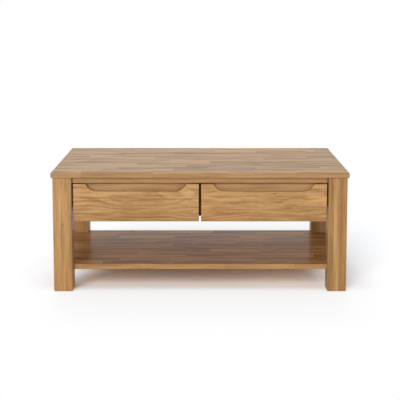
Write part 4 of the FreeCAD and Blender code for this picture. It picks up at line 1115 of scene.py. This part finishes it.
def dowel_tree():
    """A fluted dowel with eased ends, its middle at the point."""
    eased_share = 0.045
    eased_radius = 0.8
    flute_radius = 0.475
    rings = 25
    tree, start, end, wires = shape_tree("fluted_dowel", ("Diameter", "Length"), ("Flutes",))
    diameter, length, flutes = wires
    half = length * 0.5
    ends = {"Start": combine(tree, 0.0, 0.0, -half), "End": combine(tree, 0.0, 0.0, half)}
    line = add_node(tree, "GeometryNodeCurvePrimitiveLine", ends)
    fine = add_node(tree, "GeometryNodeResampleCurve", {"Curve": line.outputs["Curve"], "Count": rings})
    share = Wire(add_node(tree, "GeometryNodeSplineParameter").outputs["Factor"])
    from_end = 0.5 - abs(share - 0.5)
    inputs = {"Curve": fine.outputs["Curve"], "Radius": from_end.step(0.0, eased_share, eased_radius, 1.0)}
    eased = add_node(tree, "GeometryNodeSetCurveRadius", inputs)
    inputs = {"Points": flutes, "Inner Radius": diameter * flute_radius, "Outer Radius": diameter * 0.5}
    profile = add_node(tree, "GeometryNodeCurveStar", inputs)
    inputs = {"Curve": eased.outputs["Curve"], "Profile Curve": profile.outputs["Curve"], "Fill Caps": True}
    body = add_node(tree, "GeometryNodeCurveToMesh", inputs)
    set_on_points(tree, start, end, body.outputs["Mesh"], seed=9, turn=2 * math.pi)
    return tree


def glide_tree():
    """A felt disc with a soft fuzzy rim, its lower face at the point."""
    disc_radius = 0.494
    swelling = 0.010
    fuzziness = 0.008
    fuzz_cells = (900.0, 900.0, 900.0)
    rim_share = 0.3
    tree, start, end, (diameter, thickness) = shape_tree("felt_glide", ("Diameter", "Thickness"))
    inputs = {"Vertices": 72, "Side Segments": 5, "Fill Segments": 3,
              "Radius": diameter * disc_radius, "Depth": thickness}
    disc = add_node(tree, "GeometryNodeMeshCylinder", inputs, fill_type="TRIANGLE_FAN")
    spot = add_node(tree, "GeometryNodeInputPosition").outputs["Position"]
    x, y, z = split(tree, spot)
    level = z / thickness * 2.0
    bulge = 1.0 - level * level
    fuzz = stretched_noise(tree, spot, fuzz_cells) - 0.5
    swell = (bulge * swelling + fuzz * fuzziness) * bulge.step(0.0, rim_share) + 1.0
    inputs = {"Geometry": disc.outputs["Mesh"], "Position": combine(tree, x * swell, y * swell, z)}
    soft = add_node(tree, "GeometryNodeSetPosition", inputs)
    glide = raised(tree, soft.outputs["Geometry"], thickness * 0.5)
    set_on_points(tree, start, end, glide, seed=13, turn=2 * math.pi)
    return tree


class COFFEETABLE_OT_add_screws(bpy.types.Operator):
    """Set cross-head screws in the frame, the slides and the drawers"""

    bl_idname = "coffee_table.add_screws"
    bl_label = "Add Screws"

    def execute(self, context):
        metal = context.scene.metal_finish
        steel = metal_material("screw_steel", metal.screw_steel, roughness=0.34, marks=PLATED_MARKS)
        tree = screw_tree()
        groups = list(FRAME_SCREWS)
        for side in SIDES:
            groups += [f"{side}_drawer_front_screws", f"{side}_drawer_rail_screws"]
        for node in groups:
            tops, ways, halves, axes = zip(*(screw_seat(points) for points in solids_of(node)))
            half = halves[0]
            axis = axes[0]
            kind = RAIL_SCREW if "slide" in node or "rail_screws" in node else WOOD_SCREW
            settings = {"Head Diameter": 2 * half[(axis + 1) % 3], "Length": 2 * half[axis], **kind,
                        "Thread Pitch": metal.thread_pitch, "Recess Share": metal.recess_share,
                        "Material": steel}
            piece = grow(f"{node}_cross_head", tree, list(tops), ways, settings)
            stand_for(piece, node)
        return {"FINISHED"}


class COFFEETABLE_OT_add_dowels(bpy.types.Operator):
    """Set fluted dowels in the frame, the shelf and the drawers"""

    bl_idname = "coffee_table.add_dowels"
    bl_label = "Add Dowels"

    def execute(self, context):
        box_wood = context.scene.box_wood_finish
        tree = dowel_tree()
        for node in (*FRAME_DOWELS, *(f"{side}_drawer_pegs" for side in SIDES)):
            beech = wood_material(node, FLAT_ALONG_X, box_wood, figure=0.4, seed=71.0)
            middles, halves, axes = zip(*(long_axis(points) for points in solids_of(node)))
            half = halves[0]
            axis = axes[0]
            ways = [Vector((way == 0, way == 1, way == 2)) for way in axes]
            settings = {"Diameter": 2 * half[(axis + 1) % 3], "Length": 2 * half[axis],
                        "Flutes": context.scene.metal_finish.dowel_flutes, "Material": beech}
            piece = grow(f"{node}_fluted", tree, list(middles), ways, settings)
            stand_for(piece, node)
        return {"FINISHED"}


class COFFEETABLE_OT_add_glides(bpy.types.Operator):
    """Set felt glides under the legs"""

    bl_idname = "coffee_table.add_glides"
    bl_label = "Add Felt Glides"

    def execute(self, context):
        colour = context.scene.metal_finish.felt
        felt = matt_material("glide_felt", colour, cells=1400.0, roughness=0.9, depth=0.0006)
        middles, halves = zip(*(long_axis(points)[:2] for points in solids_of("felt_glides")))
        upwards = Vector((0.0, 0.0, 1.0))
        places = [middle - upwards * half.z for middle, half in zip(middles, halves)]
        settings = {"Diameter": 2 * halves[0].x, "Thickness": 2 * halves[0].z, "Material": felt}
        piece = grow("felt_glides_soft", glide_tree(), places, [upwards] * len(places), settings)
        stand_for(piece, "felt_glides")
        return {"FINISHED"}


def ray_shares(tree):
    """1 for rays from the camera, and 1 for rays in reflections and through glass."""
    path = add_node(tree, "ShaderNodeLightPath")
    mirrored = highest(Wire(path.outputs["Is Glossy Ray"]), Wire(path.outputs["Is Transmission Ray"]))
    return Wire(path.outputs["Is Camera Ray"]), mirrored


def white_background(stage):
    """A world that lights evenly, is white to the camera and in reflections glows near the horizon only."""
    world = bpy.data.worlds.new("studio")
    bpy.context.scene.world = world
    world.use_nodes = True
    tree = world.node_tree
    upwards = split(tree, coordinates(tree, "Generated"))[2]
    lower = math.sin(stage.horizon_height)
    upper = math.sin(stage.horizon_height + stage.horizon_fade)
    horizon = upwards.step(lower, upper, 1.0, 0.0, "LINEAR")
    camera, mirrored = ray_shares(tree)
    around = mirrored * (horizon - stage.sky_strength) + stage.sky_strength
    background = tree.nodes["Background"]
    feed(background.inputs["Color"], blend(tree, mirrored, WHITE, opaque(stage.horizon)))
    feed(background.inputs["Strength"], highest(around, camera))


def floor_material(stage):
    """Pale paint that keeps the table's shadow near it and fades to plain white further away."""
    material, tree, shader = new_material("floor_paint")
    tree.nodes.remove(shader)
    low, high = CAD_BOUNDS
    across, deep = split(tree, coordinates(tree, "Object"))[:2]
    outside = highest(abs(across) - high[0], abs(deep) - high[1])

    # Light that lifts the shadow under the shelf's ends and before the front
    slant = lowest(deep, END_LIGHT_BEND)
    ends = []
    for way, start, lean in END_LIGHTS:
        ends.append((across * way + slant * lean - start).step(0.0, END_LIGHT_WIDTH))
    beneath = outside.step(-OUTLINE_WIDTH, OUTLINE_WIDTH, 1.0, 0.0)
    from_ends = highest(*ends) * beneath * stage.side_light
    in_front = (low[1] - deep).step(-FRONT_LIGHT_WIDTH, 0.0) * stage.front_light
    shadow = (1.0 - outside.step(0.0, stage.floor_fade)) * (1.0 - highest(in_front, from_ends))

    lit = add_node(tree, "ShaderNodeBsdfDiffuse", {"Color": opaque(stage.floor)})
    # Painted light: under the table the shadow takes a warmer, brighter colour, standing in for light
    # bounced from the wood
    clear = outside.step(-SHADE_WIDTH, 0.0)
    tinted = blend(tree, clear, opaque(stage.shaded_floor), opaque(stage.shown_floor))
    shown = add_node(tree, "ShaderNodeBsdfDiffuse", {"Color": tinted})
    white = add_node(tree, "ShaderNodeEmission", {"Color": WHITE, "Strength": 1.0})
    inputs = {"Fac": 1.0 - shadow, 1: shown.outputs[0], 2: white.outputs[0]}
    faded = add_node(tree, "ShaderNodeMixShader", inputs)
    camera, mirrored = ray_shares(tree)
    inputs = {"Fac": highest(camera, mirrored), 1: lit.outputs[0], 2: faded.outputs[0]}
    mixed = add_node(tree, "ShaderNodeMixShader", inputs)
    feed(tree.nodes["Material Output"].inputs["Surface"], mixed.outputs[0])
    return material


def add_floor(stage):
    """A wide pale floor just under the felt glides."""
    reach = 60.0
    sides = 64
    drop = 0.0002
    mesh = bmesh.new()
    bmesh.ops.create_circle(mesh, cap_ends=True, segments=sides, radius=reach)
    bmesh.ops.translate(mesh, verts=mesh.verts, vec=(0.0, 0.0, -drop))
    data = bpy.data.meshes.new("floor")
    mesh.to_mesh(data)
    mesh.free()
    data.materials.append(floor_material(stage))
    floor = bpy.data.objects.new("floor", data)
    bpy.context.scene.collection.objects.link(floor)


def add_lamp(name, strength, softness, height, turn):
    """A wide soft lamp at a height above the floor, turned about the table from its front."""
    light = bpy.data.lights.new(name, "SUN")
    light.energy = strength
    light.angle = softness
    lamp = bpy.data.objects.new(name, light)
    lamp.rotation_euler = (RIGHT_ANGLE - height, 0.0, turn)
    bpy.context.scene.collection.objects.link(lamp)


def add_camera(stage):
    """The camera in front of the table, looking slightly down."""
    lens = bpy.data.cameras.new("camera")
    lens.lens = stage.camera_lens
    lens.sensor_width = stage.camera_sensor
    lens.shift_y = stage.camera_shift
    camera = bpy.data.objects.new("camera", lens)
    camera.location = (0.0, -stage.camera_distance, stage.camera_height)
    camera.rotation_euler = (RIGHT_ANGLE - stage.camera_pitch, 0.0, 0.0)
    bpy.context.scene.collection.objects.link(camera)
    bpy.context.scene.camera = camera


class COFFEETABLE_OT_set_stage(bpy.types.Operator):
    """Set the floor, the light and the camera"""

    bl_idname = "coffee_table.set_stage"
    bl_label = "Set Stage"

    def execute(self, context):
        stage = context.scene.stage_settings
        context.scene.view_settings.view_transform = "Standard"
        white_background(stage)
        add_floor(stage)
        add_lamp("front_lamp", stage.lamp_strength, stage.lamp_softness, stage.lamp_height,
                 -stage.lamp_side)
        add_lamp("back_lamp", stage.back_strength, stage.back_softness, stage.back_height,
                 2 * RIGHT_ANGLE - stage.back_side)
        add_lamp("side_lamp", stage.side_strength, stage.side_softness, stage.side_height, RIGHT_ANGLE)
        add_camera(stage)
        return {"FINISHED"}


GROUPS = {
    "oak_finish": OakFinish,
    "box_wood_finish": BoxWoodFinish,
    "metal_finish": MetalFinish,
    "stage_settings": StageSettings,
}
OPERATORS = (
    COFFEETABLE_OT_finish_top,
    COFFEETABLE_OT_finish_shelf,
    COFFEETABLE_OT_finish_legs,
    COFFEETABLE_OT_finish_frame,
    COFFEETABLE_OT_finish_fronts,
    COFFEETABLE_OT_finish_boxes,
    COFFEETABLE_OT_finish_slides,
    COFFEETABLE_OT_add_screws,
    COFFEETABLE_OT_add_dowels,
    COFFEETABLE_OT_add_glides,
    COFFEETABLE_OT_set_stage,
)


class COFFEETABLE_PT_panel(bpy.types.Panel):
    """Finishes, fittings and stage of the coffee table"""

    bl_label = "Coffee Table"
    bl_idname = "COFFEETABLE_PT_panel"
    bl_space_type = "VIEW_3D"
    bl_region_type = "UI"
    bl_category = "Coffee Table"

    def draw(self, context):
        for attribute, group in GROUPS.items():
            box = self.layout.box()
            box.label(text=group.__doc__)
            for name in group.__annotations__:
                box.prop(getattr(context.scene, attribute), name)
        for operator in OPERATORS:
            self.layout.operator(operator.bl_idname)


CLASSES = (*GROUPS.values(), *OPERATORS, COFFEETABLE_PT_panel)


def register():
    """Registers the classes and hangs the settings on the scene."""
    for kind in CLASSES:
        bpy.utils.register_class(kind)
    for attribute, group in GROUPS.items():
        setattr(bpy.types.Scene, attribute, PointerProperty(type=group))


def unregister():
    """Takes the settings and the classes away again."""
    for attribute in GROUPS:
        delattr(bpy.types.Scene, attribute)
    for kind in reversed(CLASSES):
        bpy.utils.unregister_class(kind)


def main():
    """Finishes every piece and sets the stage."""
    register()
    for operator in OPERATORS:
        category, name = operator.bl_idname.split(".")
        getattr(getattr(bpy.ops, category), name)()


if __name__ == "__main__":
    main()
